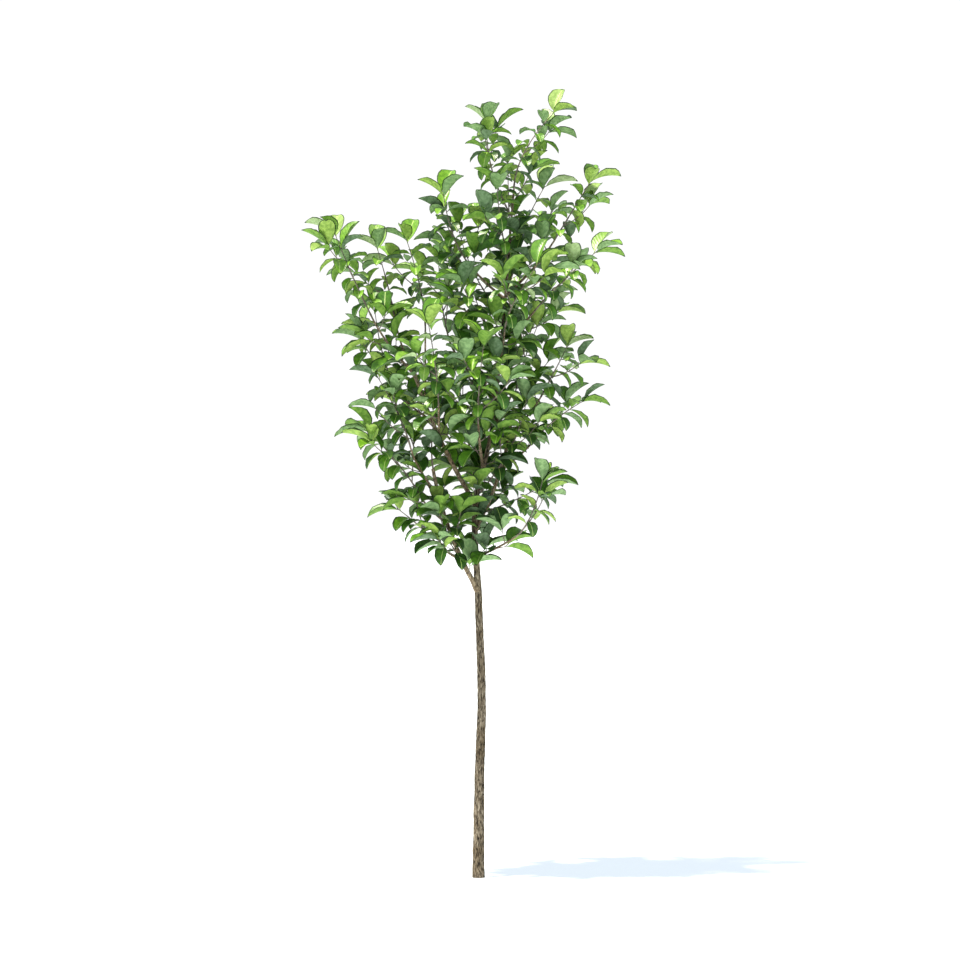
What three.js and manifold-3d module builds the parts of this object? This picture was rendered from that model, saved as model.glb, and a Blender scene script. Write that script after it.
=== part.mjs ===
// A young apple tree on a clear stem. Its trunk sways up from the ground and runs on through the crown as the
// leader. Boughs climb away from the trunk, and each carries one mass of leafy shoots at its tip.
// Millimetres, +Z up. The ground is z = 0, the middle of the trunk's foot is the origin, and -Y is the front.

import * as THREE from "three";
import { mergeVertices } from "three/addons/utils/BufferGeometryUtils.js";
import Module from "manifold-3d";

const wasm = await Module();
wasm.setup();

const UP = new THREE.Vector3(0, 0, 1);
const { degToRad } = THREE.MathUtils;

// Pieces that carry each other stay this far apart, so that they meet and share no space.
const JOINT_GAP = 0.3;

// Corners lie this far apart or are one corner, and shorter edges than this are drawn together.
const WELD = 2e-3;
const SHORTEST_EDGE = 0.05;

// The middle of the trunk and its radius at each height, from the ground to the fork at the leader's tip.
const TRUNK = {
  sides: 10,
  steps: 17,
  flare: 2.2,
  flareHeight: 90,
  stations: [
    { height: 0, x: 0, y: 0, radius: 17.6 },
    { height: 330, x: 4, y: 3, radius: 15.4 },
    { height: 560, x: 11, y: 6, radius: 13.8 },
    { height: 880, x: 1, y: 4, radius: 11.6 },
    { height: 1185, x: -9, y: -3, radius: 8.8 },
    { height: 1400, x: 38, y: 2, radius: 6.4 },
    { height: 1750, x: 78, y: 10, radius: 5.0 },
    { height: 2080, x: 104, y: 4, radius: 3.7 },
    { height: 2185, x: 113, y: 0, radius: 3.1 },
  ],
};

// Boughs. Each leaves a limb at a height, and its tip has an azimuth, a reach from the trunk and a top.
// Azimuth 0 is the right, and 90 the back. Bow is how far the middle swings out, as a share of the length.
// A bough keeps this share of its radius at its tip, and bends about this often.
const BOUGH_TAPER = 0.63;
const BOUGH_SIDES = 5;
const BOUGH_STEP = 100;
const BOUGHS = [
  { name: "low_left", from: "trunk", at: 910, azimuth: 197, reach: 150, top: 1300, radius: 8.2, bow: 0.05 },
  { name: "left", from: "trunk", at: 1180, azimuth: 208, reach: 228, top: 1605, radius: 7.4, bow: 0.04 },
  { name: "right", from: "trunk", at: 1100, azimuth: 30, reach: 125, top: 1480, radius: 6.5, bow: 0.06 },
  { name: "low_right", from: "trunk", at: 1010, azimuth: 312, reach: 175, top: 1085, radius: 4.5, bow: 0.06 },
  { name: "back", from: "trunk", at: 1245, azimuth: 100, reach: 180, top: 1390, radius: 5.5, bow: 0.12 },
  { name: "front", from: "trunk", at: 1295, azimuth: 270, reach: 160, top: 1440, radius: 5.0, bow: 0.12 },
  { name: "back_right", from: "trunk", at: 1425, azimuth: 58, reach: 235, top: 1600, radius: 5.0, bow: 0.12 },
  { name: "back_left", from: "trunk", at: 1520, azimuth: 121, reach: 190, top: 1730, radius: 5.0, bow: 0.12 },
  { name: "mid_right", from: "trunk", at: 1695, azimuth: 341, reach: 190, top: 1800, radius: 4.5, bow: 0.06 },
  { name: "front_high", from: "trunk", at: 1645, azimuth: 302, reach: 155, top: 1730, radius: 4.5, bow: 0.12 },
  { name: "upper_right", from: "trunk", at: 1850, azimuth: 6, reach: 245, top: 2030, radius: 4.5, bow: 0.05 },
  { name: "upper_left", from: "trunk", at: 1835, azimuth: 220, reach: 50, top: 1960, radius: 4.5, bow: 0.05 },
  { name: "upper_back", from: "trunk", at: 1870, azimuth: 50, reach: 190, top: 1985, radius: 4.2, bow: 0.12 },
  { name: "far_left", from: "left", at: 1590, azimuth: 203, reach: 360, top: 1770, radius: 4.2, bow: 0.05 },
  { name: "left_high", from: "left", at: 1560, azimuth: 188, reach: 270, top: 1790, radius: 4.0, bow: 0.05 },
  { name: "left_side", from: "left", at: 1450, azimuth: 178, reach: 265, top: 1560, radius: 3.6, bow: 0.1 },
  { name: "left_inner", from: "left", at: 1500, azimuth: 173, reach: 170, top: 1740, radius: 4.0, bow: 0.05 },
  { name: "front_left", from: "left", at: 1390, azimuth: 238, reach: 235, top: 1500, radius: 4.0, bow: 0.12 },
  { name: "low_left_out", from: "low_left", at: 1125, azimuth: 199, reach: 195, top: 1215, radius: 3.8, bow: 0.08 },
  { name: "low_left_low", from: "low_left", at: 1005, azimuth: 176, reach: 135, top: 1065, radius: 3.6, bow: 0.08 },
  { name: "left_low", from: "low_left", at: 1215, azimuth: 204, reach: 235, top: 1370, radius: 3.8, bow: 0.08 },
  { name: "low_left_back", from: "low_left", at: 1180, azimuth: 158, reach: 205, top: 1320, radius: 3.6, bow: 0.08 },
  { name: "right_low", from: "right", at: 1290, azimuth: 10, reach: 190, top: 1400, radius: 4.2, bow: 0.05 },
  { name: "right_out", from: "right", at: 1400, azimuth: 2, reach: 200, top: 1530, radius: 4.0, bow: 0.06 },
];

// Masses of leafy shoots. Each grows on from a limb's tip, or from the trunk at a height, to its own top.
const MASSES = [
  { name: "top_left", from: "trunk", at: 2095, azimuth: 320, reach: 36, top: 2402, seed: 181 },
  { name: "top_right", from: "trunk", azimuth: 5, reach: 245, top: 2438, seed: 938 },
  { name: "top_back", from: "trunk", at: 2040, azimuth: 57, reach: 174, top: 2290, seed: 471 },
  { name: "top_front", from: "trunk", at: 1955, azimuth: 294, reach: 145, top: 2185, seed: 1120 },
  { name: "upper_right", from: "upper_right", azimuth: 7, reach: 360, top: 2215, seed: 1445 },
  { name: "right_high", from: "mid_right", azimuth: 346, reach: 385, top: 1985, seed: 438 },
  { name: "upper_left", from: "upper_left", azimuth: 206, reach: 123, top: 2168, seed: 1159 },
  { name: "upper_back", from: "upper_back", azimuth: 44, reach: 297, top: 2212, seed: 1052 },
  { name: "far_left", from: "far_left", azimuth: 201, reach: 481, top: 2035, seed: 1701 },
  { name: "left_high", from: "left_high", azimuth: 189, reach: 325, top: 2000, seed: 262 },
  { name: "left_inner", from: "left_inner", azimuth: 167, reach: 235, top: 2030, seed: 119 },
  { name: "left_side", from: "left_side", azimuth: 177, reach: 330, top: 1805, seed: 1272 },
  { name: "inner_right", from: "trunk", at: 1205, azimuth: 345, reach: 158, top: 1517, seed: 715 },
  { name: "back_left", from: "back_left", azimuth: 121, reach: 250, top: 1972, seed: 229 },
  { name: "front_left", from: "front_left", azimuth: 240, reach: 310, top: 1750, seed: 1238 },
  { name: "low_left", from: "low_left", azimuth: 173, reach: 123, top: 1538, seed: 1203 },
  { name: "low_left_out", from: "low_left_out", azimuth: 194, reach: 360, top: 1420, seed: 520 },
  { name: "low_left_back", from: "low_left_back", azimuth: 150, reach: 310, top: 1520, seed: 1493 },
  { name: "low_left_low", from: "low_left_low", azimuth: 176, reach: 258, top: 1173, seed: 1278 },
  { name: "left_low", from: "left_low", azimuth: 197, reach: 333, top: 1590, seed: 104 },
  { name: "low_right", from: "low_right", azimuth: 321, reach: 260, top: 1265, seed: 1351 },
  { name: "low_right_out", from: "trunk", at: 1140, azimuth: 10, reach: 215, top: 1252, seed: 1208 },
  { name: "right_low", from: "right_low", azimuth: 8, reach: 340, top: 1517, seed: 1605 },
  { name: "right_out", from: "right_out", azimuth: 356, reach: 286, top: 1693, seed: 1498 },
  { name: "right", from: "right", azimuth: 20, reach: 203, top: 1760, seed: 1355 },
  { name: "back", from: "back", azimuth: 106, reach: 280, top: 1620, seed: 1104 },
  { name: "back_right", from: "back_right", azimuth: 50, reach: 341, top: 1860, seed: 133 },
  { name: "front", from: "front", azimuth: 274, reach: 240, top: 1685, seed: 314 },
  { name: "front_high", from: "front_high", azimuth: 315, reach: 269, top: 1943, seed: 1719 },
  { name: "mid_left", from: "trunk", at: 1700, azimuth: 245, reach: 120, top: 1880, seed: 280 },
  { name: "front_low", from: "low_left", at: 985, azimuth: 222, reach: 165, top: 1157, seed: 101 },
  { name: "back_low", from: "trunk", at: 1040, azimuth: 89, reach: 139, top: 1310, seed: 2046 },
  { name: "inner_front", from: "trunk", at: 1410, azimuth: 250, reach: 130, top: 1670, seed: 286 },
  { name: "high_back", from: "trunk", at: 1770, azimuth: 120, reach: 130, top: 2082, seed: 431 },
];

// Twigs: three-sided, thinning from foot to tip, with a whorl of leaves at each node counted from the tip.
const TWIG = { sides: 3, step: 95, foot: 2.8, tip: 1.7, internode: 46, bareFoot: 30 };
const STEM_WHORLS = 5;
const STEM_BOW = 0.08;
const STEM_ONWARDS = 0.4;

// Side shoots leave the stem between its whorls, so many internodes below its tip, and climb to the light.
const SIDE_SHOOTS = [3.6];
const SIDE_WHORLS = 2;
const SIDE_RADIUS = 2.2;
const SIDE_ANGLE = degToRad(46);
const SIDE_TURN = degToRad(137.5);
const SIDE_SHARE = 0.5;
const SIDE_EXTRA = 48;
const SIDE_LIFT = 0.7;
const SIDE_VARIES = { angle: 0.3, turn: 0.8, length: 0.24 };

// Leaves: six-cornered, folded up along the midrib, and widest below the middle as bias and taper say. Their
// roots are sunk past the twig's axis, and those of one whorl stand a little one below the other.
const LEAF = {
  sides: 6,
  length: 114,
  width: 82,
  thickness: 1.5,
  fold: 0.2,
  bias: 0.65,
  taper: 0.45,
  sunk: 0.2,
  highest: 2,
  stagger: 5,
};
const LEAF_VARIES = { opening: 0.2, turn: 0.5, size: 0.28, droop: 0.4, roll: 0.7 };

// The lower the whorl, the more its leaves open from the twig and droop along their length.
const WHORL_LEAVES = 3;
const WHORL_TURN = degToRad(60);
const WHORL_OPENING = [38, 58, 74].map(degToRad);
const WHORL_DROOP = [58, 72, 84].map(degToRad);
const LOWEST_RISE = degToRad(-15);

// A leaf with no room is turned aside, then made smaller, before it's left out.
const TURNS_TRIED = [0, 20, -20, 40, -40].map(degToRad);
const WAYS_TRIED = [1, 0.84].flatMap((size) => TURNS_TRIED.map((turn) => ({ size, turn })));

// Room between pieces that don't carry each other, looked for at points this far apart or closer.
const LIMB_ROOM = 8;
const TWIG_ROOM = 8;
const LEAF_ROOM = 9;
const SHOOT_ROOM = 12;
const SPACE_ROOM = 1;
const LOOK_EVERY = 12;
const LEAF_LOOKS = 4;

// A mass's space: where along its stem the middle is, how much the stem's length counts, and height too.
const SPACE = { middle: 0.7, length: 0.4, upright: 0.5 };

const BARK = new THREE.MeshStandardMaterial({ color: 0x8a7762, roughness: 0.9, metalness: 0 });
const FOLIAGE = new THREE.MeshStandardMaterial({ color: 0x4f9a33, roughness: 0.5, metalness: 0 });

// A seeded stream of numbers from 0 to 1.
function randomFrom(seed) {
  let state = (seed * 0x9e3779b1) >>> 0;
  return () => {
    state = (state + 0x6d2b79f5) >>> 0;
    let mixed = Math.imul(state ^ (state >>> 15), state | 1);
    mixed ^= mixed + Math.imul(mixed ^ (mixed >>> 7), mixed | 61);
    return ((mixed ^ (mixed >>> 14)) >>> 0) / 4294967296;
  };
}

function vary(value, spread, random) {
  return value + (random() - 0.5) * spread;
}

function place({ azimuth, reach, top }) {
  const angle = degToRad(azimuth);
  return new THREE.Vector3(reach * Math.cos(angle), reach * Math.sin(angle), top);
}

function solidOf(geometry) {
  const bare = geometry.clone();
  bare.deleteAttribute("normal");
  bare.deleteAttribute("uv");
  const merged = mergeVertices(bare, WELD);
  const faces = [];
  for (let i = 0; i < merged.index.count; i += 3) {
    const face = [...merged.index.array.slice(i, i + 3)];
    if (new Set(face).size === 3) faces.push(...face);
  }
  return new wasm.Manifold(
    new wasm.Mesh({
      numProp: 3,
      vertProperties: new Float32Array(merged.attributes.position.array),
      triVerts: new Uint32Array(faces),
    }),
  );
}

function geometryOf(solid) {
  const { vertProperties, triVerts } = solid.getMesh();
  const geometry = new THREE.BufferGeometry();
  geometry.setAttribute("position", new THREE.BufferAttribute(vertProperties, 3));
  geometry.setIndex(new THREE.BufferAttribute(triVerts, 1));
  return geometry;
}

function meshOf(name, solid, material) {
  const faceted = geometryOf(solid).toNonIndexed();
  faceted.computeVertexNormals();
  const mesh = new THREE.Mesh(faceted, material);
  mesh.name = name;
  return mesh;
}

// A cylinder bent along a curve, thinning as radiusAt says. A level one keeps every section horizontal.
function bentCylinder(curve, radiusAt, sides, steps, level = false) {
  const geometry = new THREE.CylinderGeometry(1, 1, 1, sides, steps);
  const frames = curve.computeFrenetFrames(steps, false);
  const spots = curve.getSpacedPoints(steps);
  const position = geometry.attributes.position;
  const across = new THREE.Vector3(1, 0, 0);
  const beside = new THREE.Vector3(0, 1, 0);
  for (let i = 0; i < position.count; i++) {
    const along = position.getY(i) + 0.5;
    const step = Math.round(along * steps);
    const spot = spots[step].clone();
    const radius = radiusAt(along, spot);
    spot.addScaledVector(level ? across : frames.normals[step], position.getX(i) * radius);
    spot.addScaledVector(level ? beside : frames.binormals[step], -position.getZ(i) * radius);
    position.setXYZ(i, spot.x, spot.y, spot.z);
  }
  return solidOf(geometry);
}

// Where more than two faces share an edge, as where two leaves only just cross, its ends become one corner.
function closeDoubledEdges({ index, attributes: { position } }) {
  const faces = new Map();
  index.array.forEach((a, i) => {
    const b = index.array[i % 3 === 2 ? i - 2 : i + 1];
    const edge = [Math.min(a, b), Math.max(a, b)].join();
    faces.set(edge, (faces.get(edge) ?? 0) + 1);
  });
  for (const [edge, count] of faces) {
    const [a, b] = edge.split(",").map(Number);
    if (count > 2) position.copyAt(b, position, a);
  }
}

// Welds corners that all but meet, drops the loose scraps that a cut leaves, and fills sealed hollows.
function largestBody(solid) {
  const geometry = geometryOf(solid.simplify(SHORTEST_EDGE));
  const values = geometry.attributes.position.array;
  values.forEach((value, i) => (values[i] = Math.round(value / WELD) * WELD));
  const welded = mergeVertices(geometry, WELD);
  closeDoubledEdges(welded);
  return solidOf(welded).decompose().sort((a, b) => b.volume() - a.volume())[0];
}

function trunkRadius(height) {
  const stations = TRUNK.stations;
  const above = Math.max(1, stations.findIndex((station) => station.height >= height));
  const [low, high] = [stations[above - 1], stations[above]];
  const share = (height - low.height) / (high.height - low.height);
  const flare = TRUNK.flare * Math.exp(-height / TRUNK.flareHeight);
  return THREE.MathUtils.lerp(low.radius, high.radius, share) + flare;
}

// A limb knows its middle line, how thick it is, and its solid at its own size or grown by a margin.
function makeLimb(name, curve, radiusAt, sides, steps, level) {
  const points = curve.getSpacedPoints(Math.ceil(curve.getLength() / LOOK_EVERY));
  const radii = points.map((spot, i) => radiusAt(i / (points.length - 1), spot));
  const grown = (margin) => {
    const wider = (along, spot) => radiusAt(along, spot) + margin;
    return bentCylinder(curve, wider, sides, steps, level);
  };
  return { name, curve, points, radii, grown, solid: grown(0) };
}

function growTrunk() {
  const spots = TRUNK.stations.map(({ x, y, height }) => new THREE.Vector3(x, y, height));
  const curve = new THREE.CatmullRomCurve3(spots, false, "centripetal");
  return makeLimb("trunk", curve, (along, spot) => trunkRadius(spot.z), TRUNK.sides, TRUNK.steps, true);
}

function spotAtHeight(limb, height) {
  return limb.points.find((spot) => spot.z >= height) ?? limb.points.at(-1);
}

// The way from a foot to a tip that swings out by a share of its length before it climbs.
function bowedCurve(foot, tip, bow) {
  const reach = tip.clone().sub(foot);
  const outwards = new THREE.Vector3(reach.x, reach.y, 0).normalize();
  const middle = foot.clone().lerp(tip, 0.5).addScaledVector(outwards, bow * reach.length() * 2);
  return new THREE.QuadraticBezierCurve3(foot, middle, tip);
}

function growBough(plan, limbs) {
  const parent = limbs.get(plan.from);
  const curve = bowedCurve(spotAtHeight(parent, plan.at).clone(), place(plan), plan.bow);
  const radiusAt = (along) => THREE.MathUtils.lerp(plan.radius, BOUGH_TAPER * plan.radius, along);
  const steps = Math.max(2, Math.round(curve.getLength() / BOUGH_STEP));
  const bough = makeLimb(plan.name, curve, radiusAt, BOUGH_SIDES, steps, false);
  bough.solid = largestBody(bough.solid.subtract(parent.grown(JOINT_GAP)));
  return bough;
}

// A shoot: its curve, its radii, the corners where its twig bends, and points all along that twig.
function makeShoot(curve, foot, tip, whorls) {
  const length = curve.getLength();
  const corners = curve.getSpacedPoints(Math.max(2, Math.round(length / TWIG.step)));
  const shoot = { curve, foot, tip, whorls, length, corners };
  const count = Math.ceil(length / LOOK_EVERY);
  shoot.points = Array.from({ length: count + 1 }, (_, i) => spotOnTwig(shoot, i / count));
  return shoot;
}

function spotOnTwig({ corners }, share) {
  const steps = share * (corners.length - 1);
  const below = Math.min(Math.floor(steps), corners.length - 2);
  return corners[below].clone().lerp(corners[below + 1], steps - below);
}

// The stem goes on the way its limb was going, or swings out from the trunk, and bends to the mass's top.
function growStem(plan, limbs) {
  const limb = limbs.get(plan.from);
  const top = place(plan);
  if (plan.at !== undefined) {
    const foot = spotAtHeight(limb, plan.at).clone();
    return makeShoot(bowedCurve(foot, top, STEM_BOW), TWIG.foot, TWIG.tip, STEM_WHORLS);
  }
  const onwards = plan.from === "trunk" ? UP : limb.curve.getTangentAt(1);
  const foot = limb.curve.getPointAt(1).addScaledVector(onwards, JOINT_GAP);
  const middle = foot.clone().addScaledVector(onwards, STEM_ONWARDS * foot.distanceTo(top));
  return makeShoot(new THREE.QuadraticBezierCurve3(foot, middle, top), TWIG.foot, TWIG.tip, STEM_WHORLS);
}

function perpendicularTo(axis, angle) {
  const side = new THREE.Vector3(1, 0, 0).cross(axis).normalize();
  return side.applyAxisAngle(axis, angle);
}

function growSideShoot(stem, share, turn, random) {
  const foot = spotOnTwig(stem, share);
  const axis = stem.curve.getTangentAt(share);
  const angle = vary(SIDE_ANGLE, SIDE_VARIES.angle, random);
  const outwards = perpendicularTo(axis, vary(turn, SIDE_VARIES.turn, random));
  const leaving = axis.clone().multiplyScalar(Math.cos(angle)).addScaledVector(outwards, Math.sin(angle));
  const rest = (1 - share) * stem.length;
  const length = (SIDE_SHARE * rest + SIDE_EXTRA) * vary(1, SIDE_VARIES.length, random);
  const middle = foot.clone().addScaledVector(leaving, length / 2);
  const tip = middle.clone().addScaledVector(leaving.addScaledVector(UP, SIDE_LIFT).normalize(), length / 2);
  return makeShoot(new THREE.QuadraticBezierCurve3(foot, middle, tip), SIDE_RADIUS, TWIG.tip, SIDE_WHORLS);
}

// How far along its midrib a leaf has the corner that a plain circle has at x, from -1 to 1.
function alongMidrib(x) {
  return Math.max(0, (1 + x) / 2) ** LEAF.bias;
}

// A point of a leaf's blade: along its midrib from 0 to 1, across it from -1 to 1, and above or below it.
function bladePoint(leaf, along, across, above) {
  const { base, heading, rise, droop, length, width, roll } = leaf;
  const slope = rise - droop * along;
  const forwards = (length / droop) * (Math.sin(rise) - Math.sin(slope));
  const upwards = (length / droop) * (Math.cos(slope) - Math.cos(rise));
  const tangent = heading.clone().multiplyScalar(Math.cos(slope)).addScaledVector(UP, Math.sin(slope));
  const side = heading.clone().cross(UP).applyAxisAngle(tangent, -roll);
  const normal = side.clone().cross(tangent);
  const half = ((across * width) / 2) * (1 - LEAF.taper * along);
  return base
    .clone()
    .addScaledVector(heading, forwards)
    .addScaledVector(UP, upwards)
    .addScaledVector(side, half)
    .addScaledVector(normal, Math.abs(half) * LEAF.fold + (above * LEAF.thickness) / 2);
}

// The corners of the blade: its middle, and the rim from the tip round to the tip again.
function bladeCorners(leaf) {
  const rim = Array.from({ length: LEAF.sides + 1 }, (_, i) => {
    const angle = (i * 2 * Math.PI) / LEAF.sides;
    return bladePoint(leaf, alongMidrib(Math.cos(angle)), Math.sin(angle), 0);
  });
  return { middle: bladePoint(leaf, alongMidrib(0), 0, 0), rim };
}

// Points all over the blade, which are what it's kept clear of other things by.
function bladeSamples({ middle, rim }) {
  const samples = [middle];
  for (let side = 0; side < LEAF.sides; side++)
    for (let ring = 1; ring <= LEAF_LOOKS; ring++)
      for (let i = 0; i < ring; i++) {
        const edge = rim[side].clone().lerp(rim[side + 1], i / ring);
        samples.push(middle.clone().lerp(edge, ring / LEAF_LOOKS));
      }
  return samples;
}

// A leaf blade is a six-sided, two-row sphere pressed flat and bent along the arch of the leaf.
function leafSolid(leaf) {
  const geometry = new THREE.SphereGeometry(1, LEAF.sides, 2);
  const position = geometry.attributes.position;
  for (let i = 0; i < position.count; i++) {
    const along = alongMidrib(position.getX(i));
    const spot = bladePoint(leaf, along, position.getZ(i), position.getY(i));
    position.setXYZ(i, spot.x, spot.y, spot.z);
  }
  return solidOf(geometry);
}

function makeLeaf(shoot, whorl, number, turn, random) {
  const share = 1 - (whorl * TWIG.internode + number * LEAF.stagger + LEAF.highest) / shoot.length;
  const rank = Math.min(whorl, WHORL_OPENING.length - 1);
  const axis = shoot.curve.getTangentAt(share);
  const opening = vary(WHORL_OPENING[rank], LEAF_VARIES.opening, random);
  const around = turn + whorl * WHORL_TURN + (number * 2 * Math.PI) / WHORL_LEAVES;
  const outwards = perpendicularTo(axis, vary(around, LEAF_VARIES.turn, random));
  const leaving = axis.clone().multiplyScalar(Math.cos(opening)).addScaledVector(outwards, Math.sin(opening));
  const heading = new THREE.Vector3(leaving.x, leaving.y, 0).normalize();
  const size = vary(1, LEAF_VARIES.size, random);
  return {
    base: spotOnTwig(shoot, share).addScaledVector(heading, -LEAF.sunk),
    heading,
    rise: Math.max(Math.asin(leaving.z), LOWEST_RISE),
    droop: WHORL_DROOP[rank] * vary(1, LEAF_VARIES.droop, random),
    length: LEAF.length * size,
    width: LEAF.width * size,
    roll: vary(0, LEAF_VARIES.roll, random),
  };
}

// The crown's masses share out the space round them: a point belongs to the mass whose middle is nearest,
// with longer stems counting for more and height for less, so each mass has a convex space of its own.
function makeSpaces(stems) {
  const squared = ({ x, y, z }) => x * x + y * y + SPACE.upright * z * z;
  const spaces = stems.map((stem) => ({
    middle: stem.curve.getPointAt(SPACE.middle),
    weight: (SPACE.length * stem.length) ** 2,
  }));
  const between = new THREE.Vector3();
  return (own, spot) => {
    const { middle, weight } = spaces[own];
    const mine = squared(between.subVectors(spot, middle)) - weight;
    return spaces.every((other, i) => {
      if (i === own) return true;
      const theirs = squared(between.subVectors(spot, other.middle)) - other.weight;
      between.subVectors(other.middle, middle);
      between.z *= SPACE.upright;
      return theirs - mine > 2 * SPACE_ROOM * between.length();
    });
  };
}

function nearerThan(room, spots, others) {
  return spots.some((spot) => others.some((other) => spot.distanceToSquared(other) < room * room));
}

function touchesLimb(spots, limbs) {
  for (const { points, radii } of limbs.values())
    for (let i = 0; i < points.length; i++)
      if (nearerThan(radii[i] + LIMB_ROOM, spots, [points[i]])) return true;
  return false;
}

// The first way to set the leaf, of those tried, in which it keeps to its space and clear of all else.
function fitLeaf(leaf, own, shoot, crown) {
  for (const { size, turn } of WAYS_TRIED) {
    const { length, width, heading } = leaf;
    const turned = { ...leaf, length: size * length, width: size * width };
    turned.heading = heading.clone().applyAxisAngle(UP, turn);
    const corners = bladeCorners(turned);
    if (!corners.rim.every((spot) => crown.inSpace(own, spot))) continue;
    const samples = bladeSamples(corners);
    if (touchesLimb(samples, crown.limbs)) continue;
    const others = crown.shoots.filter((other) => other !== shoot);
    if (others.some(({ points }) => nearerThan(TWIG_ROOM, samples, points))) continue;
    const { middle } = corners;
    const near = crown.blades.filter((blade) => blade.middle.distanceTo(middle) < 2 * LEAF.length);
    if (near.some((blade) => nearerThan(LEAF_ROOM, samples, blade.samples))) continue;
    return { ...turned, samples, middle };
  }
  return null;
}

function growShoots(plan, own, stem, crown) {
  const random = randomFrom(plan.seed);
  let turn = random() * 2 * Math.PI;
  const shoots = [stem];
  for (const internodes of SIDE_SHOOTS) {
    const share = 1 - (internodes * TWIG.internode) / stem.length;
    turn += SIDE_TURN;
    if (share * stem.length < TWIG.bareFoot) continue;
    const side = growSideShoot(stem, share, turn, random);
    const free = side.points.slice(2);
    if (touchesLimb(free, crown.limbs) || !free.every((spot) => crown.inSpace(own, spot))) continue;
    if (crown.shoots.every((other) => !nearerThan(SHOOT_ROOM, free, other.points))) shoots.push(side);
  }
  return shoots;
}

function growLeaves(plan, own, shoots, crown) {
  const kept = [];
  shoots.forEach((shoot, order) => {
    const random = randomFrom(plan.seed * 100 + order);
    const turn = random() * 2 * Math.PI;
    for (let whorl = 0; whorl < shoot.whorls; whorl++) {
      if (shoot.length - whorl * TWIG.internode < TWIG.bareFoot) break;
      const grown = [];
      for (let number = 0; number < WHORL_LEAVES; number++) {
        const leaf = fitLeaf(makeLeaf(shoot, whorl, number, turn, random), own, shoot, crown);
        if (leaf) grown.push(leaf);
      }
      crown.blades.push(...grown);
      kept.push(...grown);
    }
  });
  return kept;
}

// The twigs and leaves of one mass fused into one body.
function fuseMass(shoots, leaves, cutAway) {
  let whole = null;
  for (const { curve, foot, tip, corners } of shoots) {
    const radiusAt = (along) => THREE.MathUtils.lerp(foot, tip, along);
    const twig = bentCylinder(curve, radiusAt, TWIG.sides, corners.length - 1);
    whole = whole ? whole.add(twig) : twig;
  }
  for (const leaf of leaves) whole = whole.add(leafSolid(leaf));
  return largestBody(cutAway ? whole.subtract(cutAway) : whole);
}

const limbs = new Map([["trunk", growTrunk()]]);
for (const plan of BOUGHS) limbs.set(plan.name, growBough(plan, limbs));

const stems = MASSES.map((plan) => growStem(plan, limbs));
const crown = { limbs, shoots: [...stems], blades: [], inSpace: makeSpaces(stems) };
const shootsOf = MASSES.map((plan, own) => {
  const shoots = growShoots(plan, own, stems[own], crown);
  crown.shoots.push(...shoots.slice(1));
  return shoots;
});
const leavesOf = MASSES.map((plan, own) => growLeaves(plan, own, shootsOf[own], crown));

const tree = new THREE.Group();
for (const { name, solid } of limbs.values())
  tree.add(meshOf(name === "trunk" ? name : `bough_${name}`, solid, BARK));
MASSES.forEach((plan, own) => {
  const cutAway = plan.at === undefined ? null : limbs.get(plan.from).grown(JOINT_GAP);
  tree.add(meshOf(`leaves_${plan.name}`, fuseMass(shootsOf[own], leavesOf[own], cutAway), FOLIAGE));
});

export default tree;
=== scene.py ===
"""The looks of a young apple tree: bark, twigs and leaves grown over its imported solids.

The limbs and shoots follow the rule of the part's source, written again here in millimetres and
carried to finer twigs. Meshes are handed to Blender in metres, in the frame of the solids: the
ground is z = 0, the middle of the trunk's foot is the origin, and -Y is the front.
"""

import logging
import math
from dataclasses import dataclass, field, replace
from enum import Enum
from typing import Any, Callable, Iterable, Sequence

import bpy
import numpy as np
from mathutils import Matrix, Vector, noise


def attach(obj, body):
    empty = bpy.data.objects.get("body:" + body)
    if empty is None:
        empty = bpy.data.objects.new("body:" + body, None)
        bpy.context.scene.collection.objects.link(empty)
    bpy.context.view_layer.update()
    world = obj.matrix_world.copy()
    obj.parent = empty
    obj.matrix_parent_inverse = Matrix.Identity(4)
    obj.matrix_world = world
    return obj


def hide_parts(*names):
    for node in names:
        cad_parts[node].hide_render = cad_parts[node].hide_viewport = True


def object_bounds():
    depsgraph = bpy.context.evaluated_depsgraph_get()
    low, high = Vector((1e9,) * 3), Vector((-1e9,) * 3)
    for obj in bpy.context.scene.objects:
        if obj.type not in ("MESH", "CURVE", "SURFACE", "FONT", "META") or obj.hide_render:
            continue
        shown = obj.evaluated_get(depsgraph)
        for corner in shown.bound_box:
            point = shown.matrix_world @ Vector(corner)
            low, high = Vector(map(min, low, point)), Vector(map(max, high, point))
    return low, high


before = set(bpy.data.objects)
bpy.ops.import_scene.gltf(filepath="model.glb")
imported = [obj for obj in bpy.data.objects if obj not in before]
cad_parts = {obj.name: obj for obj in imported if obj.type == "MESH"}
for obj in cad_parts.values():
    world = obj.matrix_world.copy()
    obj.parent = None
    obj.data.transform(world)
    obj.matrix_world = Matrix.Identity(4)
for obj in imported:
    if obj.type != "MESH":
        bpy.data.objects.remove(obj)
CAD_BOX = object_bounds()

log = logging.getLogger("apple tree")

Nodes = bpy.types.Nodes
Material = bpy.types.Material
Array = np.ndarray

MM = 0.001
# The whole numbers that the seeded streams are made with.
MASK = 0xFFFFFFFF
SEED_FACTOR = 0x9E3779B1
STREAM_STEP = 0x6D2B79F5
FULL_TURN = 2 * math.pi
RIGHT = np.array((1.0, 0.0, 0.0))
UP = np.array((0.0, 0.0, 1.0))
# Masses whose tops are this high are in the top of the head, and those this low in its foot.
TOP_FROM = 1980
FOOT_TO = 1480
# Millimetres between a way's points, and before and after a spot that its heading is taken over.
LOOK_EVERY = 12.0
HEAD_OVER = 2.0
# How many points stand for a bend, and for the curve from one corner to the next.
BEND_POINTS = 201
CORNER_POINTS = 61
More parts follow.
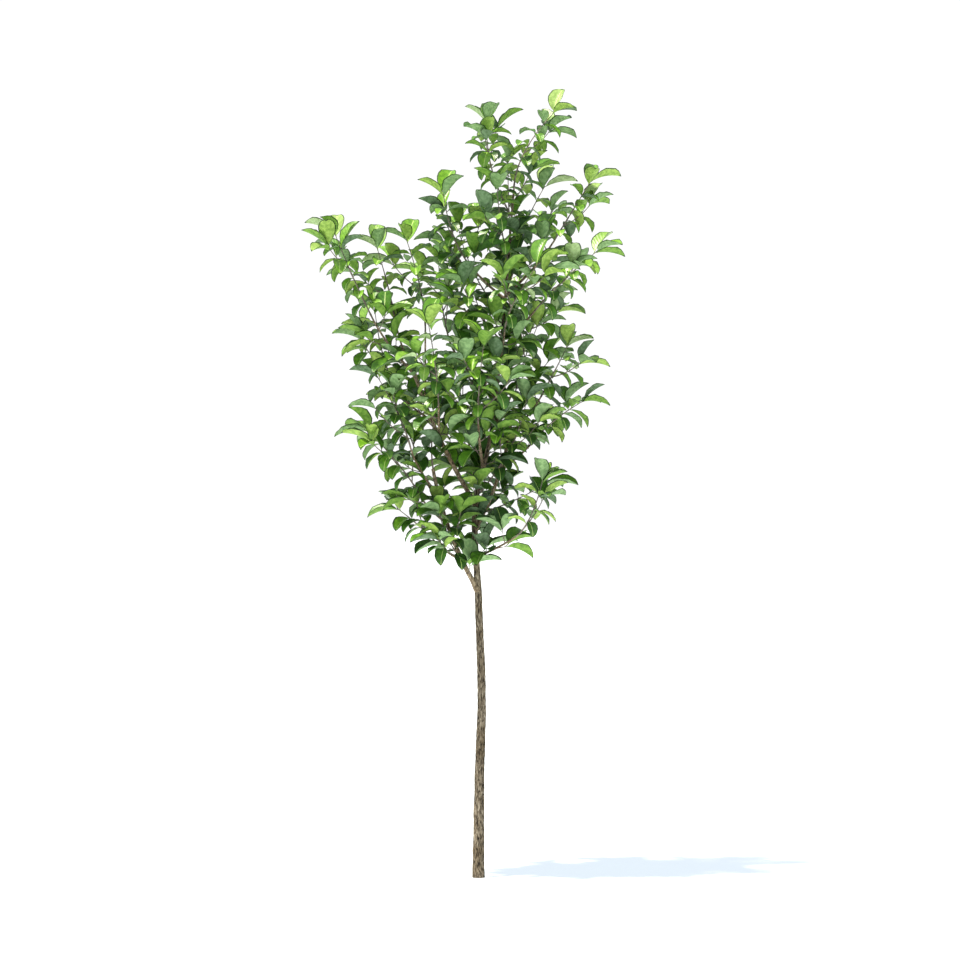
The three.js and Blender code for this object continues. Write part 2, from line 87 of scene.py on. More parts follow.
# Shares of a leaf's half width: past the first is its rim, and within the second its midrib.
AT_RIM = 0.99
AT_MIDRIB = 0.05
# How far growth may pass the solids' box: a share of its side, and millimetres.
SPARE_SHARE = 0.02
SPARE_MM = 6


class Region(Enum):
    """The parts of the head that the leaves are joined by."""

    LOW = "low"
    LEFT = "left"
    RIGHT = "right"
    HIGH = "high"


class Start(Enum):
    """Where a shoot leaves from."""

    STEM = "stem"
    SIDE = "side"
    SPUR = "spur"


@dataclass(frozen=True)
class Station:
    """The middle of the trunk and its radius at a height."""

    height: float
    x: float
    y: float
    radius: float


@dataclass(frozen=True)
class Plan:
    """What grows on a limb: the height it leaves at, or 0 for the limb's tip, and where it ends.

    The end is given by its azimuth, reach and height from the trunk's foot.
    """

    name: str
    limb: str
    at: float
    azimuth: float
    reach: float
    top: float

    @property
    def end(self) -> Array:
        """The point that it grows to."""
        angle = math.radians(self.azimuth)
        return np.array((self.reach * math.cos(angle), self.reach * math.sin(angle), self.top))


@dataclass(frozen=True)
class BoughPlan(Plan):
    """A bough: its radius, its bow, the seed of its spurs and about how far apart they are."""

    radius: float
    bow: float
    spur_seed: int
    spur_gap: float


@dataclass(frozen=True)
class MassPlan(Plan):
    """A mass of leafy shoots: its seed, and how many side shoots, fewer where the head is open."""

    seed: int
    side_shoots: int = 3

    @property
    def region(self) -> Region:
        """The part of the head that this mass is in.

        Returns:
            The top or the foot by its height, or else the side that it is on.
        """
        if self.top >= TOP_FROM:
            return Region.HIGH
        if self.top <= FOOT_TO:
            return Region.LOW
        return Region.LEFT if math.cos(math.radians(self.azimuth)) < 0 else Region.RIGHT


# The plan of the tree: the rows of the part's source, and what grows finer here than there.

STATIONS = (
    Station(0, 0, 0, 17.6),
    Station(330, 4, 3, 15.4),
    Station(560, 11, 6, 13.8),
    Station(880, 1, 4, 11.6),
    Station(1185, -9, -3, 8.8),
    Station(1400, 38, 2, 6.4),
    Station(1750, 78, 10, 5.0),
    Station(2080, 104, 4, 3.7),
    Station(2185, 113, 0, 3.1),
)
# The seed and the gap of the spurs up the trunk.
TRUNK_SPURS = (1007, 45.0)

BOUGHS = (
    BoughPlan("low_left", "trunk", 910, 197, 150, 1300, 8.2, 0.05, 1044, 45.0),
    BoughPlan("left", "trunk", 1180, 208, 228, 1605, 7.4, 0.04, 1091, 90.0),
    BoughPlan("right", "trunk", 1100, 30, 125, 1480, 6.5, 0.06, 1124, 45.0),
    BoughPlan("low_right", "trunk", 1010, 312, 175, 1085, 4.5, 0.06, 1165, 45.0),
    BoughPlan("back", "trunk", 1245, 100, 180, 1390, 5.5, 0.12, 1203, 45.0),
    BoughPlan("front", "trunk", 1295, 270, 160, 1440, 5.0, 0.12, 1248, 45.0),
    BoughPlan("back_right", "trunk", 1425, 58, 235, 1600, 5.0, 0.12, 1283, 90.0),
    BoughPlan("back_left", "trunk", 1520, 121, 190, 1730, 5.0, 0.12, 1331, 90.0),
    BoughPlan("mid_right", "trunk", 1695, 341, 190, 1800, 4.5, 0.06, 1370, 160.0),
    BoughPlan("front_high", "trunk", 1645, 302, 155, 1730, 4.5, 0.12, 1407, 45.0),
    BoughPlan("upper_right", "trunk", 1850, 6, 245, 2030, 4.5, 0.05, 1452, 45.0),
    BoughPlan("upper_left", "trunk", 1835, 220, 50, 1960, 4.5, 0.05, 1481, 160.0),
    BoughPlan("upper_back", "trunk", 1870, 50, 190, 1985, 4.2, 0.12, 1522, 45.0),
    BoughPlan("far_left", "left", 1590, 203, 360, 1770, 4.2, 0.05, 1562, 45.0),
    BoughPlan("left_high", "left", 1560, 188, 270, 1790, 4.0, 0.05, 1600, 160.0),
    BoughPlan("left_side", "left", 1450, 178, 265, 1560, 3.6, 0.1, 1652, 45.0),
    BoughPlan("left_inner", "left", 1500, 173, 170, 1740, 4.0, 0.05, 1689, 160.0),
    BoughPlan("front_left", "left", 1390, 238, 235, 1500, 4.0, 0.12, 1731, 45.0),
    BoughPlan("low_left_out", "low_left", 1125, 199, 195, 1215, 3.8, 0.08, 1763, 45.0),
    BoughPlan("low_left_low", "low_left", 1005, 176, 135, 1065, 3.6, 0.08, 1802, 45.0),
    BoughPlan("left_low", "low_left", 1215, 204, 235, 1370, 3.8, 0.08, 1840, 90.0),
    BoughPlan("low_left_back", "low_left", 1180, 158, 205, 1320, 3.6, 0.08, 1880, 160.0),
    BoughPlan("right_low", "right", 1290, 10, 190, 1400, 4.2, 0.05, 1922, 160.0),
    BoughPlan("right_out", "right", 1400, 2, 200, 1530, 4.0, 0.06, 924, 160.0),
)

MASSES = (
    MassPlan("top_left", "trunk", 2095, 320, 36, 2402, 181, 2),
    MassPlan("top_right", "trunk", 0, 5, 245, 2438, 938, 1),
    MassPlan("top_back", "trunk", 2040, 57, 174, 2290, 471, 1),
    MassPlan("top_front", "trunk", 1955, 294, 145, 2185, 1120, 1),
    MassPlan("upper_right", "upper_right", 0, 7, 360, 2215, 1445, 1),
    MassPlan("right_high", "mid_right", 0, 346, 385, 1985, 438, 1),
    MassPlan("upper_left", "upper_left", 0, 206, 123, 2168, 1159, 1),
    MassPlan("upper_back", "upper_back", 0, 44, 297, 2212, 1052, 1),
    MassPlan("far_left", "far_left", 0, 201, 481, 2035, 1701, 2),
    MassPlan("left_high", "left_high", 0, 189, 325, 2000, 262, 1),
    MassPlan("left_inner", "left_inner", 0, 167, 235, 2030, 119, 1),
    MassPlan("left_side", "left_side", 0, 177, 330, 1805, 1272),
    MassPlan("inner_right", "trunk", 1205, 345, 158, 1517, 715),
    MassPlan("back_left", "back_left", 0, 121, 250, 1972, 229),
    MassPlan("front_left", "front_left", 0, 240, 310, 1750, 1238, 1),
    MassPlan("low_left", "low_left", 0, 173, 123, 1538, 1203, 2),
    MassPlan("low_left_out", "low_left_out", 0, 194, 360, 1420, 520),
    MassPlan("low_left_back", "low_left_back", 0, 150, 310, 1520, 1493),
    MassPlan("low_left_low", "low_left_low", 0, 176, 258, 1173, 1278),
    MassPlan("left_low", "left_low", 0, 197, 333, 1590, 104),
    MassPlan("low_right", "low_right", 0, 321, 260, 1265, 1351, 1),
    MassPlan("low_right_out", "trunk", 1140, 10, 215, 1252, 1208, 0),
    MassPlan("right_low", "right_low", 0, 8, 340, 1517, 1605),
    MassPlan("right_out", "right_out", 0, 356, 286, 1693, 1498),
    MassPlan("right", "right", 0, 20, 203, 1760, 1355),
    MassPlan("back", "back", 0, 106, 280, 1620, 1104),
    MassPlan("back_right", "back_right", 0, 50, 341, 1860, 133),
    MassPlan("front", "front", 0, 274, 240, 1685, 314),
    MassPlan("front_high", "front_high", 0, 315, 269, 1943, 1719, 2),
    MassPlan("mid_left", "trunk", 1700, 245, 120, 1880, 280),
    MassPlan("front_low", "low_left", 985, 222, 165, 1157, 101),
    MassPlan("back_low", "trunk", 1040, 89, 139, 1310, 2046),
    MassPlan("inner_front", "trunk", 1410, 250, 130, 1670, 286),
    MassPlan("high_back", "trunk", 1770, 120, 130, 2082, 431),
)


class Stream:
    """A seeded stream of numbers from 0 to 1, the same as the source's."""

    def __init__(self, seed: int) -> None:
        """Starts the stream.

        Args:
            seed: A whole number that settles every number drawn.
        """
        self.state = (seed * SEED_FACTOR) & MASK

    def draw(self) -> float:
        """Draws the next number.

        Returns:
            A number from 0 up to 1.
        """
        self.state = (self.state + STREAM_STEP) & MASK
        mixed = ((self.state ^ (self.state >> 15)) * (self.state | 1)) & MASK
        mixed ^= (mixed + (((mixed ^ (mixed >> 7)) * (mixed | 61)) & MASK)) & MASK
        return (mixed ^ (mixed >> 14)) / (MASK + 1)

    def vary(self, value: float, spread: float) -> float:
        """Returns the value, moved by up to half the spread either way."""
        return value + (self.draw() - 0.5) * spread

    def turn(self) -> float:
        """Returns an angle anywhere in a full turn."""
        return self.draw() * FULL_TURN


def unit(vector: Array) -> Array:
    """Returns the vector at length 1."""
    return vector / np.linalg.norm(vector, axis=-1, keepdims=True)


def turned(vector: Array, axis: Array, angle: float) -> Array:
    """Turns a vector about an axis.

    Args:
        vector: What is turned.
        axis: A vector of length 1.
        angle: In radians, by the right-hand rule.

    Returns:
        The vector after the turn.
    """
    along = axis * (vector @ axis)
    across = vector - along
    return along + across * math.cos(angle) + np.cross(axis, vector) * math.sin(angle)


def beside(axis: Array, angle: float) -> Array:
    """Returns a direction square to the axis, this far round it."""
    return turned(unit(np.cross(RIGHT, axis)), axis, angle)


def rounded(value: float | Array) -> float | Array:
    """Returns the nearest whole number, halves going up."""
    return np.floor(value + 0.5)


def ring_angles(sides: int) -> Array:
    """Returns the angles of a ring's corners."""
    return np.arange(sides) * FULL_TURN / sides


def gaps(spots: Array, others: Array) -> Array:
    """Returns how far each point is from each of the others."""
    return np.linalg.norm(spots[:, None] - others[None], axis=2)


def inside(spots: Array) -> bool:
    """Tells whether points are within the solids' box, with the little room that is allowed.

    Args:
        spots: The points, one a row.

    Returns:
        True if all are.
    """
    low, high = (np.array(corner) / MM for corner in CAD_BOX)
    spare = (high - low) * SPARE_SHARE + SPARE_MM
    return bool((spots >= low - spare).all() and (spots <= high + spare).all())


class Way:
    """A smooth way through space that is measured along its own length.

    Its points are what others keep clear of.
    """

    def __init__(self, dense: Array) -> None:
        """Measures the way.

        Args:
            dense: Points along it, close enough together to stand for the curve.
        """
        self.dense = dense
        run = np.concatenate(((0.0,), np.cumsum(np.linalg.norm(np.diff(dense, axis=0), axis=1))))
        self.length = float(run[-1])
        self.shares = run / run[-1]
        self.points = self.spaced(math.ceil(self.length / LOOK_EVERY))

    def at(self, share: float | Array) -> Array:
        """Returns the point, or the row of points, at a share of the length."""
        return np.stack([np.interp(share, self.shares, axis) for axis in self.dense.T], axis=-1)

    def heading(self, share: float) -> Array:
        """Returns the direction of travel at a share of the length."""
        step = HEAD_OVER / self.length
        return unit(self.at(min(1.0, share + step)) - self.at(max(0.0, share - step)))

    def spaced(self, steps: int) -> Array:
        """Returns the corners of this many equal steps."""
        return self.at(np.linspace(0, 1, steps + 1))


def bent_way(foot: Array, middle: Array, tip: Array) -> Way:
    """Returns the way that leaves a foot towards a middle point and bends over to a tip."""
    t = np.linspace(0, 1, BEND_POINTS)[:, None]
    return Way((1 - t) ** 2 * foot + 2 * t * (1 - t) * middle + t**2 * tip)


def bowed_way(foot: Array, tip: Array, bow: float) -> Way:
    """Makes a way that swings out and then climbs.

    Args:
        foot: Where it starts.
        tip: Where it ends.
        bow: How far it swings out, as a share of its length.

    Returns:
        The way.
    """
    reach = tip - foot
    outwards = unit(np.array((reach[0], reach[1], 0.0)))
    return bent_way(foot, (foot + tip) / 2 + outwards * bow * np.linalg.norm(reach) * 2, tip)


def swaying_way(corners: Array) -> Way:
    """Returns the smooth way through all the corners, easing round the close ones.

    Args:
        corners: One row per corner.

    Returns:
        The curve through them, whose time from corner to corner is the root of the gap.
    """
    ends = np.vstack((2 * corners[0] - corners[1], corners, 2 * corners[-1] - corners[-2]))
    t = np.linspace(0, 1, CORNER_POINTS)[:, None]
    pieces = []
    for a, b, c, d in zip(ends, ends[1:], ends[2:], ends[3:]):
        ab, bc, cd = (math.sqrt(float(np.linalg.norm(q - p))) for p, q in ((a, b), (b, c), (c, d)))
        leave = ((b - a) / ab - (c - a) / (ab + bc) + (c - b) / bc) * bc
        arrive = ((c - b) / bc - (d - b) / (bc + cd) + (d - c) / cd) * bc
        bend = -3 * b + 3 * c - 2 * leave - arrive
        piece = b + leave * t + bend * t**2 + (2 * b - 2 * c + leave + arrive) * t**3
        pieces.append(piece[1:] if pieces else piece)
    return Way(np.vstack(pieces))


def linear(hex_colour: str) -> tuple[float, float, float, float]:
    """Turns an sRGB hex colour to the linear one that shaders take.

    Args:
        hex_colour: Six hex digits, such as "8a7762".

    Returns:
        Linear red, green and blue, and an alpha of 1.
    """
    channels = []
    for i in (0, 2, 4):
        value = int(hex_colour[i : i + 2], 16) / 255
        channels.append(value / 12.92 if value <= 0.04045 else ((value + 0.055) / 1.055) ** 2.4)
    return (channels[0], channels[1], channels[2], 1.0)


def set_inputs(node: Any, **inputs: Any) -> None:
    """Sets or links a node's input sockets.

    Args:
        node: The node.
        inputs: A value, or the output socket to link, by the socket's name with _ for a space. A
            name of the form in_2 means the socket by its number.
    """
    for name, value in inputs.items():
        key: Any = int(name[3:]) if name.startswith("in_") else name.replace("_", " ")
        if isinstance(value, bpy.types.NodeSocket):
            node.id_data.links.new(value, node.inputs[key])
        else:
            node.inputs[key].default_value = value


def add_node(nodes: Nodes, kind: str, settings: dict[str, Any] | None = None, **inputs: Any) -> Any:
    """Adds a shader node.

    Args:
        nodes: The material's or world's nodes.
        kind: The node's type name.
        settings: Properties of the node.
        inputs: What its input sockets are set or linked to.

    Returns:
        The new node.
    """
    node = nodes.new(kind)
    for name, value in (settings or {}).items():
        setattr(node, name, value)
    set_inputs(node, **inputs)
    return node


def mottling(
    nodes: Nodes, spot: Any, across_mm: float, stops: Sequence[tuple[float, str]], **inputs: Any
) -> tuple[Any, Any]:
    """Adds uneven patches and the colours that they take.

    Args:
        nodes: The material's nodes.
        spot: The output socket that places the patches.
        across_mm: How far across they are.
        stops: The places and hex colours of the colour ramp.
        inputs: More inputs of the noise.

    Returns:
        The output sockets of the patches' height and of their colour.
    """
    scale = 1 / (across_mm * MM)
    patches = add_node(nodes, "ShaderNodeTexNoise", Vector=spot, Scale=scale, **inputs)
    ramp = add_node(nodes, "ShaderNodeValToRGB", Fac=patches.outputs["Fac"])
    elements = ramp.color_ramp.elements
    while len(elements) < len(stops):
        elements.new(0.5)
    for element, (position, colour) in zip(elements, stops):
        element.position = position
        element.color = linear(colour)
    return patches.outputs["Fac"], ramp.outputs["Color"]


def new_material(name: str) -> tuple[Material, Any, Any]:
    """Makes a node material.

    Args:
        name: The material's name.

    Returns:
        The material, its nodes, and the output socket that gives a point's place on the tree.
    """
    material = bpy.data.materials.new(name)
    material.use_nodes = True
    nodes = material.node_tree.nodes
    return material, nodes, add_node(nodes, "ShaderNodeTexCoord").outputs["Object"]


def surface(
    material: Material, colour: Any, height: Any, strength: float, depth_mm: float, **inputs: Any
) -> Material:
    """Joins a colour and a relief to a material's shader.

    Args:
        material: The material.
        colour: The output socket of its colour.
        height: The output socket of its relief.
        strength: How strongly the relief shows.
        depth_mm: How deep the relief is.
        inputs: More inputs of the shader.

    Returns:
        The same material.
    """
    nodes = material.node_tree.nodes
    depth = depth_mm * MM
    bump = add_node(nodes, "ShaderNodeBump", Strength=strength, Distance=depth, Height=height)
    shader = nodes["Principled BSDF"]
    set_inputs(shader, Base_Color=colour, Normal=bump.outputs["Normal"], **inputs)
    return material


class MeshStore:
    """Corners and faces of many small things, gathered to be joined into one piece."""

    def __init__(self) -> None:
        """Starts with nothing."""
        self.corners: list[Array] = []
        self.faces: list[list[int]] = []
        self.slots: list[int] = []
        self.marks: list[Array] = []
        self.count = 0

    def add(
        self, corners: Array, faces: Iterable[Sequence[int]], slots: Sequence[int], marks: Array
    ) -> None:
        """Adds one thing.

        Args:
            corners: Its corners in millimetres, one a row.
            faces: Its faces, counted from its own first corner.
            slots: The material slot of each face.
            marks: Two numbers a corner that its finish may read as a UV map.
        """
        self.faces.extend([corner + self.count for corner in face] for face in faces)
        self.slots.extend(slots)
        self.corners.append(corners)
        self.marks.append(marks)
        self.count += len(corners)

    def add_tube(
        self, spots: Array, headings: Sequence[Array], across: Array, radii: Array, shares: Array
    ) -> None:
        """Adds a tube that is closed at both ends.

        Args:
            spots: The middle of each ring, from the tube's foot.
            headings: The direction that each ring faces.
            across: About where the first ring's first corner lies from its middle.
            radii: How far each corner is from its ring's middle, one row for each ring.
            shares: How far along the tube each ring is.
        """
        angles = ring_angles(radii.shape[1])
        out, up = np.cos(angles)[:, None], np.sin(angles)[:, None]
        corners = np.empty((*radii.shape, 3))
        for i, heading in enumerate(headings):
            across = unit(across - heading * (across @ heading))
            ring = across * out + np.cross(heading, across) * up
            corners[i] = spots[i] + ring * radii[i][:, None]
        rings = np.arange(radii.size).reshape(radii.shape)
        following = np.roll(rings, -1, axis=1)
        sheet = np.stack((rings[:-1], following[:-1], following[1:], rings[1:]), axis=-1)
        faces = [*sheet.reshape(-1, 4).tolist(), rings[0][::-1].tolist(), rings[-1].tolist()]
        marks = np.stack(np.meshgrid(angles, shares), axis=-1).reshape(-1, 2)
        self.add(corners.reshape(-1, 3), faces, [0] * len(faces), marks)

    def piece(self, name: str, materials: Sequence[Material]) -> bpy.types.Object:
        """Makes the piece.

        Args:
            name: The new object's name.
            materials: The material of each slot.

        Returns:
            An object with its place in its mesh, smooth shaded.
        """
        mesh = bpy.data.meshes.new(name)
        corners = np.vstack(self.corners) * MM
        mesh.from_pydata(corners.tolist(), [], self.faces)
        mesh.polygons.foreach_set("material_index", np.array(self.slots, dtype=np.int32))
        mesh.polygons.foreach_set("use_smooth", np.ones(len(self.faces), dtype=bool))
        loops = np.empty(len(mesh.loops), dtype=np.int32)
        mesh.loops.foreach_get("vertex_index", loops)
        marks = np.vstack(self.marks)[loops]
        mesh.uv_layers.new(name="marks").data.foreach_set("uv", marks.astype(np.float32).ravel())
        for material in materials:
            mesh.materials.append(material)
        mesh.update()
        return linked(name, mesh)


def linked(name: str, data: Any) -> bpy.types.Object:
    """Puts a new object in the scene.

    Args:
        name: The object's name.
        data: The mesh, lamp or camera that it shows.

    Returns:
        The object.
    """
    obj = bpy.data.objects.new(name, data)
    bpy.context.scene.collection.objects.link(obj)
    return obj


def settle(piece: bpy.types.Object, nodes: Sequence[str]) -> None:
    """Rides a finished piece on the tree's one body, in place of its solids.

    Args:
        piece: The piece.
        nodes: The solids that it stands for.
    """
    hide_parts(*nodes)
    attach(piece, "root")
    triangles = sum(len(polygon.vertices) - 2 for polygon in piece.data.polygons)
    log.info("%s: %d triangles, in place of %d solids", piece.name, triangles, len(nodes))


@dataclass(frozen=True)
class BarkFinish:
    """Young apple bark, weathered outdoors: furrows open along the limb as it thickens.

    The eye gets dull grey-brown ridges a few millimetres wide, dark threads between them, paler
    scuffs, and broad blotches of damp and lichen.
    """

    name: str = "apple bark, weathered"
    ridge: str = "8f836e"
    middle: str = "645949"
    furrow: str = "221d16"
    pale: str = "bab09d"
    ridge_mm: float = 4.0
    stretch: float = 0.24
    damp: str = "c4bdb0"
    dry: str = "ffffff"
    blotch_mm: float = 60.0
    roughness: float = 0.9
    gloss: float = 0.25
    bump: float = 0.9
    bump_mm: float = 0.5

    def make(self) -> Material:
        """Makes the finish.

        Returns:
            Its material.
        """
        material, nodes, spot = new_material(self.name)
        # Cracks run up the limb, so the pattern is drawn out along Z.
        scale = (1.0, 1.0, self.stretch)
        drawn_out = add_node(nodes, "ShaderNodeMapping", Vector=spot, Scale=scale).outputs["Vector"]
        stops = ((0.39, self.furrow), (0.47, self.middle), (0.56, self.ridge), (0.7, self.pale))
        grain = {"Detail": 6.0, "Roughness": 0.62, "Distortion": 0.6}
        height, colour = mottling(nodes, drawn_out, self.ridge_mm, stops, **grain)
        stops = ((0.35, self.damp), (0.65, self.dry))
        _, shade = mottling(nodes, spot, self.blotch_mm, stops, Detail=3.0)
        # This node's sockets share their names, so those for colours are told by number.
        multiply = {"data_type": "RGBA", "blend_type": "MULTIPLY"}
        mixed = add_node(nodes, "ShaderNodeMix", multiply, in_0=1.0, in_6=colour, in_7=shade)
        inputs = {"Roughness": self.roughness, "Specular_IOR_Level": self.gloss}
        return surface(material, mixed.outputs[2], height, self.bump, self.bump_mm, **inputs)


TRUNK_BARK = BarkFinish()
# Younger bark for the boughs, smoother. It is lighter partly in its own warmer colour, and partly
# as painted light that lifts the boughs out of the leaves' shade.
BOUGH_BARK = BarkFinish(
    "apple bark, young, painted lighter",
    ridge="a6957b",
    middle="7a6a55",
    furrow="3a3026",
    pale="cabda6",
    ridge_mm=3.0,
)


@dataclass(frozen=True)
class TwigFinish:
    """This year's and last year's apple wood, still smooth: a thin skin, grey-brown over olive.

    The eye gets a faint gloss and small pale pores, with no furrows yet. Real pores are under half
    a millimetre across, and they are drawn larger so that they show.
    """

    name: str = "apple twig, smooth skinned"
    dark: str = "4d443a"
    light: str = "83776a"
    patch_mm: float = 14.0
    pore_mm: float = 1.2
    bump: float = 0.3
    bump_mm: float = 0.2
    roughness: float = 0.6

    def make(self) -> Material:
        """Makes the finish.

        Returns:
            Its material.
        """
        material, nodes, spot = new_material(self.name)
        stops = ((0.38, self.dark), (0.62, self.light))
        _, colour = mottling(nodes, spot, self.patch_mm, stops, Detail=4.0)
        scale = 1 / (self.pore_mm * MM)
        pores = add_node(nodes, "ShaderNodeTexVoronoi", Vector=spot, Scale=scale)
        height, roughness = pores.outputs["Distance"], self.roughness
        return surface(material, colour, height, self.bump, self.bump_mm, Roughness=roughness)


@dataclass(frozen=True)
class LeafFinish:
    """One face of a living apple leaf.

    The upper face has a thin wax that gives it a soft gloss, and veins sunk between low swellings.
    The lower face is duller, with the veins standing out: grey where its down is thick, and green
    where the down is thin, a green that is painted light for the light that comes through. Both are
    unevenly green, in small patches.
    Side veins leave the midrib every 10 mm of a grown blade and run forwards to the rim.
    """

    name: str
    colour: str
    fleck: str
    roughness: float = 0.36
    gloss: float = 0.6
    vein_mm: float = 0.35
    bump: float = 0.35
    patch_mm: float = 12.0
    veins: float = 9.5
    vein_slant: float = 0.22

    def make(self) -> Material:
        """Makes the finish.

        Returns:
            Its material.
        """
        material, nodes, spot = new_material(self.name)
        stops = ((0.4, self.fleck), (0.6, self.colour))
        _, colour = mottling(nodes, spot, self.patch_mm, stops, Detail=3.0)
        marks = add_node(nodes, "ShaderNodeUVMap", {"uv_map": "marks"}).outputs["UV"]
        split = add_node(nodes, "ShaderNodeSeparateXYZ", Vector=marks).outputs
        # The veins are a wave along the blade, which slants forwards on each side of the midrib.
        height = split["X"]
        for step, values in (
            ("ABSOLUTE", {}),
            ("MULTIPLY_ADD", {"in_1": -self.vein_slant, "in_2": split["Y"]}),
            ("MULTIPLY", {"in_1": FULL_TURN * self.veins}),
            ("SINE", {}),
        ):
            node = add_node(nodes, "ShaderNodeMath", {"operation": step}, in_0=height, **values)
            height = node.outputs["Value"]
        inputs = {"Roughness": self.roughness, "Specular_IOR_Level": self.gloss}
        return surface(material, colour, height, self.bump, self.vein_mm, **inputs)


# The upper faces, from the lightest green to the darkest: the youngest leaves and those in painted
# light first, and the oldest leaves and those in painted shade last.
UPPER_FACES = tuple(
    LeafFinish(f"apple leaf, upper face, {tone}", colour, fleck)
    for tone, colour, fleck in (
        ("first green", "a3c06c", "8dab58"),
        ("light green", "8ab448", "719c38"),
        ("bright green", "7caf2d", "639422"),
        ("mid green", "639726", "4e7e1c"),
        ("full green", "4b7d21", "386419"),
        ("deep green", "305b1a", "254813"),
    )
)
MIDRIB = LeafFinish("apple leaf, midrib", "cbe187", "b9d375", roughness=0.5, vein_mm=0.0)
# The lower faces, from the palest to the darkest, with thick down and thin down in turn. The greens
# of thin down are painted light, for light that comes through the blade, and paler faces go where
# painted light falls on the head.
LOWER_FACES = tuple(
    LeafFinish(f"apple leaf, lower face, {tone}", colour, fleck, roughness, gloss, vein_mm=0.5)
    for tone, colour, fleck, roughness, gloss in (
        ("pale down", "b4cb94", "99b17b", 0.75, 0.2),
        ("lit-through green", "a0bf5c", "7fa047", 0.7, 0.25),
        ("grey down", "8bac73", "6f905c", 0.75, 0.2),
        ("leaf green", "7da444", "618934", 0.7, 0.25),
        ("blue-grey down", "6f8a66", "536e4b", 0.75, 0.2),
        ("deep green", "446d2c", "365c22", 0.7, 0.25),
    )
)
# The rim and tip of the blade in one dark green, painted shade that outlines every leaf.
RIM_SHADE = LeafFinish(
    "apple leaf, rim, painted shade", "34521f", "2a4418", roughness=0.5, gloss=0.3, vein_mm=0.2
)
# The leaves' material slots: the upper faces, then these.
MIDRIB_SLOT = len(UPPER_FACES)
LOWER_SLOT = MIDRIB_SLOT + 1
RIM_SHADE_SLOT = LOWER_SLOT + len(LOWER_FACES)


@dataclass
class Limb:
    """A trunk or bough: its way, its radius at a share of its length and a height, its spurs."""

    name: str
    way: Way
    radius: Callable[[float, float], float]
    spur_seed: int
    spur_gap: float
    radii: Array = field(init=False)

    def __post_init__(self) -> None:
        """Works out how thick the limb is at each of its way's points."""
        points = self.way.points
        steps = len(points) - 1
        self.radii = np.array([self.radius(i / steps, p[2]) for i, p in enumerate(points)])

    def spot_at_height(self, height: float) -> Array:
        """Returns the limb's first point that is this high."""
        above = np.nonzero(self.way.points[:, 2] >= height)[0]
        return self.way.points[above[0] if len(above) else -1]

    def is_near(self, spots: Array, room: float) -> bool:
        """Tells whether any point is within this room of the limb's surface."""
        return bool((gaps(spots, self.way.points) < self.radii + room).any())


